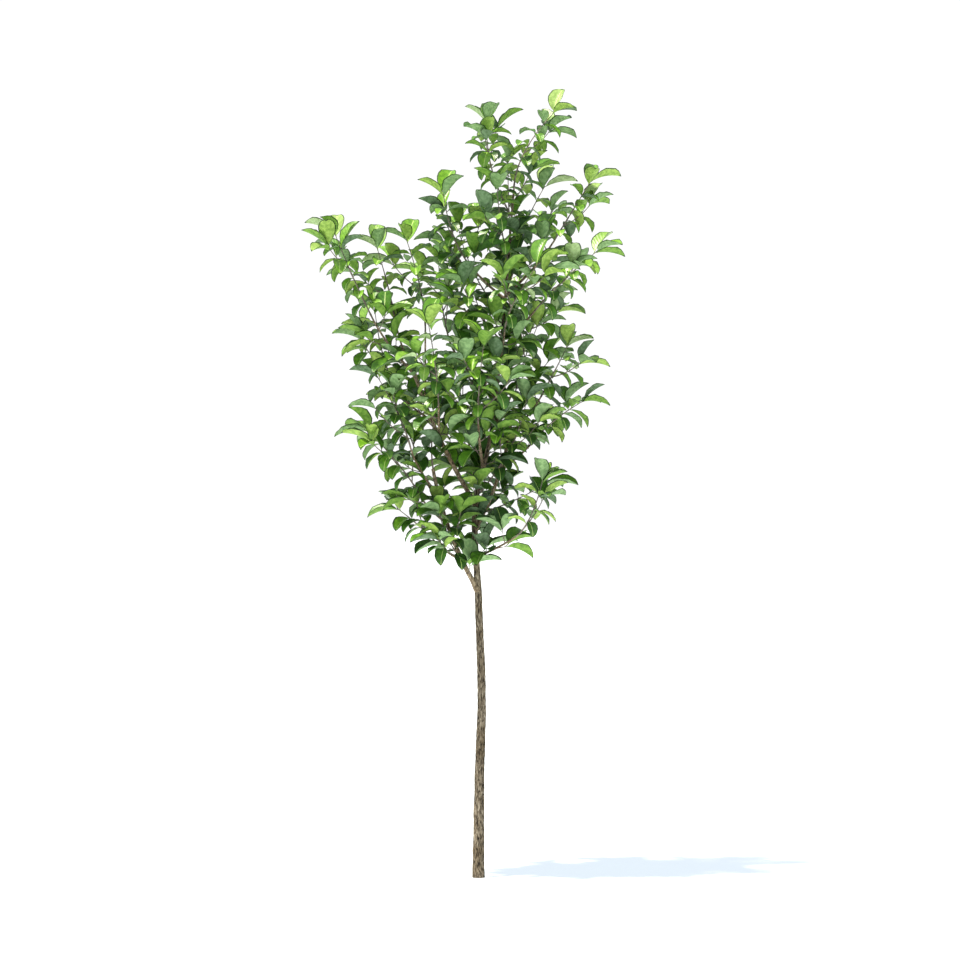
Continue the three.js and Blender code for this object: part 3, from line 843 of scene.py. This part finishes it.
@dataclass
class Bark:
    """The trunk and boughs as skins with real ridges and furrows.

    Sizes are in millimetres. Shares are of a limb's radius, and the numbers of furrows and lumps
    say how closely they lie round it.
    """

    # The limbs' own shape, and the rings of their skins.
    flare: float = 2.2
    flare_height: float = 90.0
    bough_taper: float = 0.63
    trunk_sides: int = 64
    bough_sides: int = 20
    step: float = 5.0
    # The bark's relief.
    furrows: float = 2.1
    furrow_run: float = 34.0
    furrow_share: float = 0.085
    furrow_narrowness: float = 4.2
    ridge_height: float = 0.4
    fine_furrows: float = 2.3
    fine_run: float = 2.2
    fine_height: float = 0.9
    lumps: float = 0.7
    lump_run: float = 85.0
    lump_share: float = 0.07
    seed_step: float = 7.3
    # The swelling where a bough leaves its limb.
    collar: float = 0.45
    collar_run: float = 9.0
    collar_fade: float = 6.0
    limbs: dict[str, Limb] = field(default_factory=dict)

    def trunk_radius(self, height: float) -> float:
        """Works out how thick the trunk is.

        Args:
            height: Millimetres above the ground.

        Returns:
            Its radius there.
        """
        flare = self.flare * math.exp(-height / self.flare_height)
        heights, radii = [s.height for s in STATIONS], [s.radius for s in STATIONS]
        return flare + float(np.interp(height, heights, radii))

    def grow(self) -> dict[str, Limb]:
        """Grows the trunk and then each bough from its limb.

        Returns:
            The limbs by name.
        """
        way = swaying_way(np.array([(s.x, s.y, s.height) for s in STATIONS], dtype=float))
        self.limbs["trunk"] = Limb("trunk", way, lambda _, z: self.trunk_radius(z), *TRUNK_SPURS)
        for plan in BOUGHS:
            foot = self.limbs[plan.limb].spot_at_height(plan.at)
            way = bowed_way(foot, plan.end, plan.bow)
            taper = self.bough_taper

            def radius(share: float, _: float, foot_radius: float = plan.radius) -> float:
                """Returns the bough's radius at a share of its length."""
                return foot_radius * (1 + (taper - 1) * share)

            self.limbs[plan.name] = Limb(plan.name, way, radius, plan.spur_seed, plan.spur_gap)
        return self.limbs

    def relief(self, around: float, along: float, radius: float, seed: float) -> float:
        """Works out how far the bark stands out or in.

        Args:
            around: The angle round the limb.
            along: Millimetres along the limb.
            radius: The limb's radius there.
            seed: A number that sets this limb apart from others.

        Returns:
            Millimetres, out of the limb if over 0.
        """
        x, y = math.cos(around), math.sin(around)
        run = along / self.furrow_run
        wide, close = self.furrows, self.fine_furrows
        crack = noise.noise(Vector((x * wide + seed, y * wide, run)))
        spot = Vector((x * wide * close, y * wide * close + seed, run * self.fine_run))
        fine = noise.noise(spot)
        lump = noise.noise(Vector((x * self.lumps, y * self.lumps + seed, along / self.lump_run)))
        depth = 1 - min(1.0, abs(crack) * self.furrow_narrowness)
        ridge = self.ridge_height + fine * self.fine_height - depth
        return radius * (self.lump_share * lump + self.furrow_share * ridge)

    def skin(self, store: MeshStore, limb: Limb, sides: int, seed: float, level: bool) -> None:
        """Adds one limb's skin.

        Args:
            store: Where it goes.
            limb: The limb.
            sides: Corners in a ring.
            seed: What sets its bark apart.
            level: Whether every ring is level, as at the trunk's flat cut.
        """
        way = limb.way
        steps = int(rounded(way.length / self.step))
        shares = np.arange(steps + 1) / steps
        spots = way.spaced(steps)
        radii = np.empty((len(spots), sides))
        for i, share in enumerate(shares):
            along = share * way.length
            radius = limb.radius(share, spots[i, 2])
            fade = math.exp(-((along / self.collar_run) ** 2) / self.collar_fade)
            swell = 1.0 if level else 1 + self.collar * fade
            for j, angle in enumerate(ring_angles(sides)):
                radii[i, j] = radius * swell + self.relief(angle, along, radius, seed)
        headings = [UP if level else way.heading(share) for share in shares]
        store.add_tube(spots, headings, RIGHT, radii, shares)

    def build(self) -> None:
        """Makes and dresses the trunk's piece and the boughs' piece."""
        trunk, boughs = MeshStore(), MeshStore()
        self.skin(trunk, self.limbs["trunk"], self.trunk_sides, 0.0, True)
        for number, plan in enumerate(BOUGHS, start=1):
            seed = self.seed_step * number
            self.skin(boughs, self.limbs[plan.name], self.bough_sides, seed, False)
        settle(trunk.piece("bark_of_trunk", [TRUNK_BARK.make()]), ["trunk"])
        nodes = [f"bough_{plan.name}" for plan in BOUGHS]
        settle(boughs.piece("bark_of_boughs", [BOUGH_BARK.make()]), nodes)


@dataclass
class Shoot:
    """A leafy shoot: its way, its radii, and how many whorls of leaves it carries from its tip."""

    way: Way
    foot: float
    tip: float
    whorls: int
    start: Start
    mass: MassPlan
    seed: int


@dataclass
class Twigs:
    """The shoots of every mass, from the stems down to the shortest spurs.

    Sizes are in millimetres and angles in radians. Side shoots are given by how many internodes
    they leave their stem below its tip.
    """

    limbs: dict[str, Limb]
    # The stems, and how they go on from their limbs.
    foot: float = 2.8
    tip: float = 1.15
    internode: float = 46.0
    bare_foot: float = 30.0
    stem_whorls: int = 6
    stem_bow: float = 0.08
    stem_onwards: float = 0.4
    joint_gap: float = 0.3
    joint_depth: float = 3.0
    # The side shoots.
    side_shoots: tuple[float, ...] = (3.6, 2.5, 4.7)
    side_whorls: int = 2
    side_radius: float = 2.0
    side_angle: float = math.radians(46)
    side_turn: float = math.radians(137.5)
    side_share: float = 0.5
    side_extra: float = 48.0
    side_lift: float = 0.7
    angle_varies: float = 0.3
    turn_varies: float = 0.8
    length_varies: float = 0.24
    # The spurs.
    spur_radius: float = 1.8
    spur_whorls: int = 1
    spur_length: float = 46.0
    spur_length_varies: float = 0.6
    spur_gap_varies: float = 0.5
    spur_onwards: float = 0.5
    spur_lowest: float = 955.0
    trunk_spur_lowest: float = 1230.0
    spurless_tip: float = 20.0
    seed_stride: int = 100
    # The room that a shoot keeps, from its third point on.
    joint_points: int = 2
    shoot_room: float = 11.0
    limb_room: float = 7.0
    out_of_reach: float = 600.0
    # The skin, swollen at the nodes and closed in a bud.
    sides: int = 7
    step: float = 6.0
    node_swell: float = 0.3
    node_run: float = 5.0
    bud: float = 5.0
    bud_tip: float = 0.25
    first_corner: tuple[float, ...] = (0.6, 0.8, 0.0)
    shoots: list[Shoot] = field(default_factory=list)

    def stem(self, plan: MassPlan) -> Shoot:
        """Grows a mass's stem, on from its limb's tip or out from the trunk.

        Args:
            plan: The mass.

        Returns:
            The stem.
        """
        limb = self.limbs[plan.limb]
        if plan.at:
            way = bowed_way(limb.spot_at_height(plan.at), plan.end, self.stem_bow)
        else:
            onwards = UP if plan.limb == "trunk" else limb.way.heading(1.0)
            foot = limb.way.at(1.0) + onwards * self.joint_gap
            middle = foot + onwards * self.stem_onwards * np.linalg.norm(plan.end - foot)
            # The skin starts a little way inside the bough, so that no light shows at the joint.
            way = bent_way(foot - onwards * self.joint_depth, middle, plan.end)
        seed = plan.seed * self.seed_stride
        return Shoot(way, self.foot, self.tip, self.stem_whorls, Start.STEM, plan, seed)

    def rising_way(self, foot: Array, leaving: Array, length: float) -> Way:
        """Returns the way that leaves a foot and bends up to the light."""
        middle = foot + leaving * length / 2
        return bent_way(foot, middle, middle + unit(leaving + UP * self.side_lift) * length / 2)

    def side(self, stem: Shoot, share: float, turn: float, random: Stream, seed: int) -> Shoot:
        """Grows a side shoot that leaves a stem.

        Args:
            stem: What it leaves.
            share: Where along the stem.
            turn: How far round the stem.
            random: The stream that varies it.
            seed: What settles its leaves.

        Returns:
            The side shoot.
        """
        axis = stem.way.heading(share)
        angle = random.vary(self.side_angle, self.angle_varies)
        outwards = beside(axis, random.vary(turn, self.turn_varies))
        leaving = axis * math.cos(angle) + outwards * math.sin(angle)
        rest = (1 - share) * stem.way.length
        length = (self.side_share * rest + self.side_extra) * random.vary(1, self.length_varies)
        way = self.rising_way(stem.way.at(share), leaving, length)
        whorls = self.side_whorls
        return Shoot(way, self.side_radius, self.tip, whorls, Start.SIDE, stem.mass, seed)

    def has_room(self, shoot: Shoot, bearer: Limb | None = None) -> bool:
        """Tells whether a shoot keeps within the tree and clear of all but what it leaves.

        Args:
            shoot: The shoot.
            bearer: The limb that it leaves, if it doesn't leave a stem.

        Returns:
            True if it does.
        """
        if not inside(shoot.way.points):
            return False
        spots = shoot.way.points[self.joint_points :]
        for limb in self.limbs.values():
            if limb is not bearer and limb.is_near(spots, self.limb_room):
                return False
        for other in self.shoots:
            points = other.way.points
            if np.linalg.norm(points[-1] - spots[-1]) > self.out_of_reach:
                continue
            if gaps(spots, points).min() < self.shoot_room:
                return False
        return True

    def grow(self) -> None:
        """Grows the stems, then the side shoots, then spurs along the bare limbs."""
        stems = [self.stem(plan) for plan in MASSES]
        self.shoots.extend(stems)
        for stem in stems:
            random = Stream(stem.mass.seed)
            turn = random.turn()
            kept = 0
            for internodes in self.side_shoots[: stem.mass.side_shoots]:
                share = 1 - internodes * self.internode / stem.way.length
                turn += self.side_turn
                if share * stem.way.length < self.bare_foot:
                    continue
                side = self.side(stem, share, turn, random, stem.seed + kept + 1)
                if self.has_room(side):
                    self.shoots.append(side)
                    kept += 1
        for limb in self.limbs.values():
            self.grow_spurs(limb, stems)

    def grow_spurs(self, limb: Limb, stems: Sequence[Shoot]) -> None:
        """Grows short spurs along a bough, or along the trunk inside the head.

        Args:
            limb: What they leave.
            stems: The stems of the masses. A spur belongs to the nearest.
        """
        lowest = self.trunk_spur_lowest if limb.name == "trunk" else self.spur_lowest
        random = Stream(limb.spur_seed)
        turn = random.turn()
        along = random.draw() * limb.spur_gap
        seed = limb.spur_seed * self.seed_stride
        while along < limb.way.length - self.spurless_tip:
            share = along / limb.way.length
            foot, axis = limb.way.at(share), limb.way.heading(share)
            turn += self.side_turn
            along += random.vary(limb.spur_gap, limb.spur_gap * self.spur_gap_varies)
            seed += 1
            outwards = beside(axis, random.vary(turn, self.turn_varies))
            leaving = unit(axis * self.spur_onwards + outwards)
            length = random.vary(self.spur_length, self.spur_length * self.spur_length_varies)
            if foot[2] < lowest:
                continue
            way = self.rising_way(foot, leaving, length + limb.radius(share, foot[2]))
            far = [np.linalg.norm(stem.way.at(0.5) - way.dense[-1]) for stem in stems]
            mass = stems[int(np.argmin(far))].mass
            radius, whorls = self.spur_radius, self.spur_whorls
            spur = Shoot(way, radius, self.tip, whorls, Start.SPUR, mass, seed)
            if self.has_room(spur, limb):
                self.shoots.append(spur)

    def skin(self, store: MeshStore, shoot: Shoot) -> None:
        """Adds one shoot's skin, which swells where its leaves sit and closes in a bud.

        Args:
            store: Where it goes.
            shoot: The shoot.
        """
        way = shoot.way
        steps = int(rounded(way.length / self.step))
        shares = np.append(np.linspace(0, 1, steps + 1), 1.0)
        spots = way.at(shares)
        spots[-1] += way.heading(1.0) * self.bud
        below_tip = (1 - shares) * way.length
        to_node = below_tip - self.internode * rounded(below_tip / self.internode)
        swell = 1 + self.node_swell * np.exp(-((to_node / self.node_run) ** 2))
        radii = (shoot.foot + (shoot.tip - shoot.foot) * shares) * swell
        radii[-1] = self.bud_tip
        headings = [way.heading(share) for share in shares]
        rings = np.outer(radii, np.ones(self.sides))
        store.add_tube(spots, headings, np.array(self.first_corner), rings, shares)

    def build(self) -> None:
        """Makes and dresses the twigs' piece."""
        store = MeshStore()
        for shoot in self.shoots:
            self.skin(store, shoot)
        nodes = [f"leaves_{plan.name}" for plan in MASSES]
        settle(store.piece("twigs", [TwigFinish().make()]), nodes)


@dataclass
class Leaf:
    """A leaf's place and shape, in millimetres and radians."""

    base: Array
    heading: Array
    rise: float
    droop: float
    length: float
    width: float
    roll: float
    rank: int

    def points(self, along: Array, half: Array, lift: Array) -> Array:
        """Works out points of the arched blade.

        Args:
            along: Shares of the midrib's length from the base.
            half: Millimetres to the side of the midrib.
            lift: Millimetres off the blade's own surface.

        Returns:
            One row for each.
        """
        slope = self.rise - self.droop * along
        bend = self.length / self.droop
        forwards = bend * (math.sin(self.rise) - np.sin(slope))
        upwards = bend * (np.cos(slope) - math.cos(self.rise))
        tangent = self.heading * np.cos(slope)[:, None] + UP * np.sin(slope)[:, None]
        flat = np.cross(self.heading, UP)
        square = np.cross(flat, tangent)
        side = flat * math.cos(self.roll) - np.cross(tangent, flat) * math.sin(self.roll)
        normal = np.cross(side, tangent)
        normal *= np.sign((normal * square).sum(axis=1))[:, None]
        return (
            self.base
            + self.heading * forwards[:, None]
            + UP * upwards[:, None]
            + side * half[:, None]
            + normal * lift[:, None]
        )


@dataclass
class Foliage:
    """The leaves, in whorls of three up every shoot.

    Sizes are in millimetres. Rows of three numbers are for a shoot's first whorl, for its second,
    and for those further down.
    """

    twigs: Twigs
    # A grown leaf, its stalk and the outline of its blade.
    length: float = 91.0
    width: float = 47.5
    stalk: float = 0.08
    stalk_end: float = 1.1
    stalk_radius: float = 0.7
    stalk_half: float = 0.75
    stalk_thins: float = 0.55
    widest: float = 0.506
    base_power: float = 0.84
    tip_power: float = 0.82
    point_share: float = 0.2
    point_run: float = 0.12
    # The blade's folds and waves, and its midrib.
    fold: tuple[float, ...] = (0.55, 0.38, 0.3)
    cup: float = 0.12
    wave: float = 1.6
    waves: float = 17.0
    wave_shift: float = 1.3
    wave_full_half: float = 20.0
    thickness: float = 0.45
    rib_half: float = 0.8
    rib_widest: float = 0.35
    rib_depth: float = 0.5
    # How the leaves of a whorl sit on their shoot, with angles in degrees by whorl.
    sunk: float = 1.0
    highest: float = 2.0
    stagger: float = 5.0
    whorl_leaves: int = 3
    whorl_turn: float = math.radians(60)
    opening: tuple[float, ...] = (30, 60, 76)
    droop: tuple[float, ...] = (40, 60, 74)
    share_of_size: tuple[float, ...] = (1.12, 0.88, 0.78)
    lowest_rise: float = math.radians(-15)
    opening_varies: float = 0.2
    turn_varies: float = 0.5
    size_varies: float = 0.28
    droop_varies: float = 0.4
    roll_varies: float = 0.42
    # The room that a leaf keeps, how far off things are looked at, and the ways that it is tried.
    leaf_room: float = 4.5
    twig_room: float = 4.0
    limb_room: float = 5.0
    leaf_reach: float = 2.0
    twig_reach: float = 1.3
    tried_sizes: tuple[float, ...] = (1.0, 0.84, 0.7)
    tried_angles: tuple[float, ...] = (0, 20, -20, 40, -40)
    sample_rows: tuple[float, ...] = (0.2, 0.36, 0.52, 0.68, 0.84, 0.98)
    sample_columns: tuple[float, ...] = (-0.9, -0.45, 0.0, 0.45, 0.9)
    sample_at_foot: int = 12
    # The mesh: rows up the leaf, and the columns between its midrib and rim.
    rows: tuple[float, ...] = (0.0, 0.05, 0.08, 0.13, 0.22, 0.34, 0.48, 0.62, 0.75, 0.86, 0.94, 1.0)
    columns: tuple[float, ...] = (0.4, 0.89)
    # A leaf's age and painted light, 0 for the youngest and lightest upper face, and the tone of
    # its lower face. Leaves are painted lighter towards the outside and the top of the head, as
    # painted light, and darker inside and low, as painted shade.
    age: float = 3.6
    lighter_outside: float = 1.9
    older_a_whorl: float = 0.55
    lighter_upwards: float = 0.5
    older_on_spur: float = 0.6
    age_varies: float = 2.8
    head_x: float = 20.0
    head_radius: float = 330.0
    head_height: float = 1600.0
    head_half_height: float = 600.0
    tone_by_age_and_light: float = 0.35
    tone: float = 1.35
    tone_varies: float = 3.5
    tint_seed: int = 77
    kept: list[tuple[Leaf, Shoot, Array]] = field(default_factory=list)

    def half_width(self, along: Array, width: float) -> Array:
        """Works out the blade's outline, widest at its middle and drawn out to a point.

        Args:
            along: Shares of the leaf's length, its stalk included.
            width: The blade's full width.

        Returns:
            Millimetres from the midrib to the rim.
        """
        blade = np.clip((along - self.stalk) / (1 - self.stalk), 0, 1)
        full = self.widest**self.base_power * (1 - self.widest) ** self.tip_power
        shape = blade**self.base_power * (1 - blade) ** self.tip_power / full
        shape *= 1 - self.point_share * np.exp(-(((1 - blade) / self.point_run) ** 2))
        return np.maximum(width / 2 * shape, self.stalk_half - self.stalk_thins * blade)

    def leaf(self, shoot: Shoot, whorl: int, number: int, turn: float, random: Stream) -> Leaf:
        """Sets one leaf of a whorl.

        Args:
            shoot: What carries it.
            whorl: Its whorl, counted down from the tip.
            number: Its place in the whorl.
            turn: How far round the shoot its first whorl starts.
            random: The stream that varies it.

        Returns:
            The leaf.
        """
        below = whorl * self.twigs.internode + number * self.stagger + self.highest
        share = 1 - below / shoot.way.length
        rank = min(whorl, len(self.opening) - 1)
        axis = shoot.way.heading(share)
        opening = random.vary(math.radians(self.opening[rank]), self.opening_varies)
        around = turn + whorl * self.whorl_turn + number * FULL_TURN / self.whorl_leaves
        outwards = beside(axis, random.vary(around, self.turn_varies))
        leaving = axis * math.cos(opening) + outwards * math.sin(opening)
        heading = unit(np.array((leaving[0], leaving[1], 0.0)))
        size = random.vary(1, self.size_varies) * self.share_of_size[rank]
        droop = math.radians(self.droop[rank]) * random.vary(1, self.droop_varies)
        return Leaf(
            base=shoot.way.at(share) - heading * self.sunk,
            heading=heading,
            rise=max(math.asin(leaving[2]), self.lowest_rise),
            droop=droop,
            length=self.length * size,
            width=self.width * size,
            roll=random.vary(0, self.roll_varies),
            rank=rank,
        )

    def samples(self, leaf: Leaf) -> Array:
        """Spreads points all over a blade, which it is kept clear of other things by.

        Args:
            leaf: The leaf.

        Returns:
            The points, one a row.
        """
        along, across = np.meshgrid(self.sample_rows, self.sample_columns)
        along, across = along.ravel(), across.ravel()
        half = across * self.half_width(along, leaf.width)
        return leaf.points(along, half, np.abs(half) * self.fold[leaf.rank])

    def fit(self, leaf: Leaf, shoot: Shoot) -> None:
        """Keeps a leaf the first way that it is clear of all else, or drops it if there is none.

        Args:
            leaf: The leaf as it grew.
            shoot: What carries it.
        """
        near, woods = [], []
        for _, _, spots in self.kept:
            foot = spots[self.sample_at_foot]
            if np.linalg.norm(foot - leaf.base) < self.length * self.leaf_reach:
                near.append(spots)
        for wood in self.twigs.shoots:
            far = np.linalg.norm(wood.way.points - leaf.base, axis=1).min()
            if wood is not shoot and far < self.length * self.twig_reach:
                woods.append(wood.way.points)
        for size in self.tried_sizes:
            for angle in self.tried_angles:
                tried = replace(
                    leaf,
                    heading=turned(leaf.heading, UP, math.radians(angle)),
                    length=leaf.length * size,
                    width=leaf.width * size,
                )
                spots = self.samples(tried)
                if self.is_clear(spots, near, woods) and inside(spots):
                    self.kept.append((tried, shoot, spots))
                    return

    def is_clear(self, spots: Array, near: Sequence[Array], woods: Sequence[Array]) -> bool:
        """Tells whether a leaf's points are clear of leaves, shoots and limbs.

        Args:
            spots: The leaf's points.
            near: The points of each leaf near it.
            woods: The points of each shoot near it.

        Returns:
            True if they are.
        """
        for things, room in ((near, self.leaf_room), (woods, self.twig_room)):
            if any(gaps(spots, thing).min() < room for thing in things):
                return False
        return not any(limb.is_near(spots, self.limb_room) for limb in self.twigs.limbs.values())

    def grow(self) -> None:
        """Grows the whorls of every shoot, stems first."""
        for shoot in self.twigs.shoots:
            random = Stream(shoot.seed)
            turn = random.turn()
            for whorl in range(shoot.whorls):
                if shoot.way.length - whorl * self.twigs.internode < self.twigs.bare_foot:
                    break
                for number in range(self.whorl_leaves):
                    self.fit(self.leaf(shoot, whorl, number, turn, random), shoot)
        log.info("leaves: %d on %d shoots", len(self.kept), len(self.twigs.shoots))

    def skin(self, store: MeshStore, leaf: Leaf, upper: int, below: int, random: Stream) -> None:
        """Adds one leaf: an upper face with its midrib, and a lower face that meets it at the rim.

        Args:
            store: Where it goes.
            leaf: The leaf.
            upper: The slot of its upper face.
            below: The slot of its lower face.
            random: The stream that waves its rim.
        """
        rows = np.array(self.rows)
        half = self.half_width(rows, leaf.width)
        rib = np.minimum(self.rib_half / half, self.rib_widest)
        phase = random.turn()
        inner, outer = self.columns
        skins, marks = [], []
        for face, columns in (
            (1, (-1.0, -outer, -inner, -rib, rib, inner, outer, 1.0)),
            (-1, (-outer, -inner, 0.0, inner, outer)),
        ):
            along = np.repeat(rows, len(columns))
            across = np.stack([np.broadcast_to(c, rows.shape) for c in columns], axis=1).ravel()
            halves = np.repeat(half, len(columns))
            skins.append(self.blade(leaf, along, across, halves, phase, face))
            marks.append(np.stack((across, along), axis=1))
        up = np.arange(len(skins[0])).reshape(len(rows), -1)
        down = np.arange(len(skins[1])).reshape(len(rows), -1) + len(skins[0])
        under = np.column_stack((up[:, 0], down, up[:, -1]))
        faces: list[list[int]] = []
        slots: list[int] = []
        # The outer columns of both faces and the whole tip row take the rim's painted shade.
        for i in range(len(rows) - 1):
            is_tip = i == len(rows) - 2
            for j, slot in enumerate((RIM_SHADE_SLOT, upper, upper, MIDRIB_SLOT, upper, upper, RIM_SHADE_SLOT)):
                faces.append([up[i, j], up[i, j + 1], up[i + 1, j + 1], up[i + 1, j]])
                slots.append(RIM_SHADE_SLOT if is_tip else slot)
            for j, slot in enumerate((RIM_SHADE_SLOT, below, below, below, below, RIM_SHADE_SLOT)):
                faces.append([under[i, j], under[i + 1, j], under[i + 1, j + 1], under[i, j + 1]])
                slots.append(RIM_SHADE_SLOT if is_tip else slot)
        faces.append([*under[0], *up[0][-2:0:-1]])
        faces.append([*under[-1][::-1], *up[-1][1:-1]])
        store.add(np.vstack(skins), faces, [*slots, below, below], np.concatenate(marks))

    def blade(
        self, leaf: Leaf, along: Array, across: Array, half: Array, phase: float, face: int
    ) -> Array:
        """Works out one face of a blade, folded up from its midrib, cupped, and waved at its rim.

        Args:
            leaf: The leaf.
            along: Shares of the leaf's length.
            across: Shares of the blade's half width, from -1 to 1.
            half: The blade's half width at each.
            phase: Where its waves start.
            face: 1 for the upper face, and -1 for the lower.

        Returns:
            Its corners.
        """
        out = np.abs(across)
        lift = out * half * self.fold[leaf.rank] + self.cup * out**2 * half
        ripple = np.sin(along * self.waves + phase + np.sign(across) * self.wave_shift)
        lift += self.wave * out**2 * ripple * np.minimum(half / self.wave_full_half, 1)
        body = np.where(out > AT_RIM, 0.0, self.thickness / 2)
        stalk = along < self.stalk * self.stalk_end
        body = np.where(stalk & (out < AT_RIM), self.stalk_radius, body)
        # The midrib stands out under the blade and lies in a groove on top of it.
        ribbed = np.where(out < AT_MIDRIB, self.rib_depth if face < 0 else 0.0, 0.0)
        return leaf.points(along, across * half, lift + face * (body + ribbed))

    def tints(self, leaf: Leaf, shoot: Shoot, random: Stream) -> tuple[int, int]:
        """Deals a leaf its greens: younger ones towards the tip, lighter greens towards the outside
        and the top of the head as painted light, and darker ones inside and low as painted shade.

        Args:
            leaf: The leaf.
            shoot: Its shoot.
            random: The stream that varies them.

        Returns:
            The slots of its upper face and of its lower face.
        """
        x, y, z = leaf.base
        # Painted light and shade: the outside and the top of the head get lighter greens, and the
        # inside and the foot get darker ones. This is added to the leaf's real age by whorl and
        # spur.
        outside = min(1.0, math.hypot(x - self.head_x, y) / self.head_radius)
        age = self.age - self.lighter_outside * outside + self.older_a_whorl * leaf.rank
        age -= self.lighter_upwards * (z - self.head_height) / self.head_half_height
        if shoot.start is Start.SPUR:
            age += self.older_on_spur
        age += random.vary(0, self.age_varies)
        tone = self.tone_by_age_and_light * age + random.vary(self.tone, self.tone_varies)
        upper = int(np.clip(round(age), 0, len(UPPER_FACES) - 1))
        return upper, LOWER_SLOT + int(np.clip(round(tone), 0, len(LOWER_FACES) - 1))

    def build(self) -> None:
        """Makes and dresses the leaves' pieces, one for each part of the head."""
        materials = [finish.make() for finish in (*UPPER_FACES, MIDRIB, *LOWER_FACES, RIM_SHADE)]
        stores = {region: MeshStore() for region in Region}
        random = Stream(self.tint_seed)
        for leaf, shoot, _ in self.kept:
            upper, below = self.tints(leaf, shoot, random)
            self.skin(stores[shoot.mass.region], leaf, upper, below, random)
        for region, store in stores.items():
            nodes = [f"leaves_{plan.name}" for plan in MASSES if plan.region is region]
            settle(store.piece(f"foliage_{region.value}", materials), nodes)


@dataclass
class Studio:
    """A plain pale floor, soft daylight from the front left and above, and the camera."""

    floor_size: float = 160.0
    floor_colour: str = "d2d5d8"
    floor_roughness: float = 0.95
    floor_gloss: float = 0.1
    glow_colour: str = "ebf7fd"
    floor_glow: float = 0.55
    sky_colour: str = "e6eefc"
    sky_strength: float = 0.71
    backdrop_strength: float = 1.05
    sun_colour: str = "fff6e6"
    sun_strength: float = 5.9
    sun_width: float = math.radians(2.5)
    sun_from: tuple[float, float, float] = (-0.46, -0.26, 1.45)
    camera_place: tuple[float, float, float] = (0.0054, -11.6, 1.264)
    sensor_mm: float = 36.0
    focal_pixels: float = 3648.0
    image_pixels: float = 960.0
    sight: float = 400.0

    def floor(self) -> None:
        """Makes the floor, far wider than any view."""
        half = self.floor_size / 2
        mesh = bpy.data.meshes.new("floor")
        corners = [(-half, -half, 0), (half, -half, 0), (half, half, 0), (-half, half, 0)]
        mesh.from_pydata(corners, [], [(0, 1, 2, 3)])
        # Uncoated paper off a wide roll: the eye gets an even white, with no gloss or grain.
        material, nodes, _ = new_material("matt studio paper, pale")
        set_inputs(
            nodes["Principled BSDF"],
            Base_Color=linear(self.floor_colour),
            Roughness=self.floor_roughness,
            Specular_IOR_Level=self.floor_gloss,
            Emission_Color=linear(self.glow_colour),
            Emission_Strength=self.floor_glow,
        )
        mesh.materials.append(material)
        floor = linked("floor", mesh)

    def light(self) -> None:
        """Makes the sky, which looks white and lights softly, and the sun."""
        world = bpy.data.worlds.new("studio")
        bpy.context.scene.world = world
        world.use_nodes = True
        nodes = world.node_tree.nodes
        nodes.clear()
        seen = add_node(nodes, "ShaderNodeLightPath")
        white, sky = (
            add_node(nodes, "ShaderNodeBackground", Color=colour, Strength=strength)
            for colour, strength in (
                (linear("ffffff"), self.backdrop_strength),
                (linear(self.sky_colour), self.sky_strength),
            )
        )
        either = add_node(
            nodes,
            "ShaderNodeMixShader",
            in_0=seen.outputs["Is Camera Ray"],
            in_1=sky.outputs["Background"],
            in_2=white.outputs["Background"],
        )
        add_node(nodes, "ShaderNodeOutputWorld", Surface=either.outputs["Shader"])
        lamp = bpy.data.lights.new("sun", "SUN")
        lamp.energy = self.sun_strength
        lamp.angle = self.sun_width
        lamp.color = linear(self.sun_colour)[:3]
        sun = linked("sun", lamp)
        sun.rotation_euler = Vector(self.sun_from).to_track_quat("Z", "Y").to_euler()

    def camera(self) -> None:
        """Sets the camera level, at the height and distance that the picture was taken from."""
        lens = bpy.data.cameras.new("camera")
        lens.sensor_width = self.sensor_mm
        lens.lens = self.sensor_mm * self.focal_pixels / self.image_pixels
        lens.clip_end = self.sight
        camera = linked("camera", lens)
        camera.location = self.camera_place
        camera.rotation_euler = (math.pi / 2, 0.0, 0.0)
        bpy.context.scene.camera = camera

    def build(self) -> None:
        """Sets up the whole studio, with colours shown as they are."""
        self.floor()
        self.light()
        self.camera()
        bpy.context.scene.view_settings.view_transform = "Standard"


def main() -> None:
    """Grows, skins and dresses the tree, then sets up the studio."""
    logging.basicConfig(level=logging.INFO, format="%(name)s: %(message)s")
    bark = Bark()
    twigs = Twigs(bark.grow())
    twigs.grow()
    foliage = Foliage(twigs)
    foliage.grow()
    bark.build()
    twigs.build()
    foliage.build()
    Studio().build()


if __name__ == "__main__":
    main()
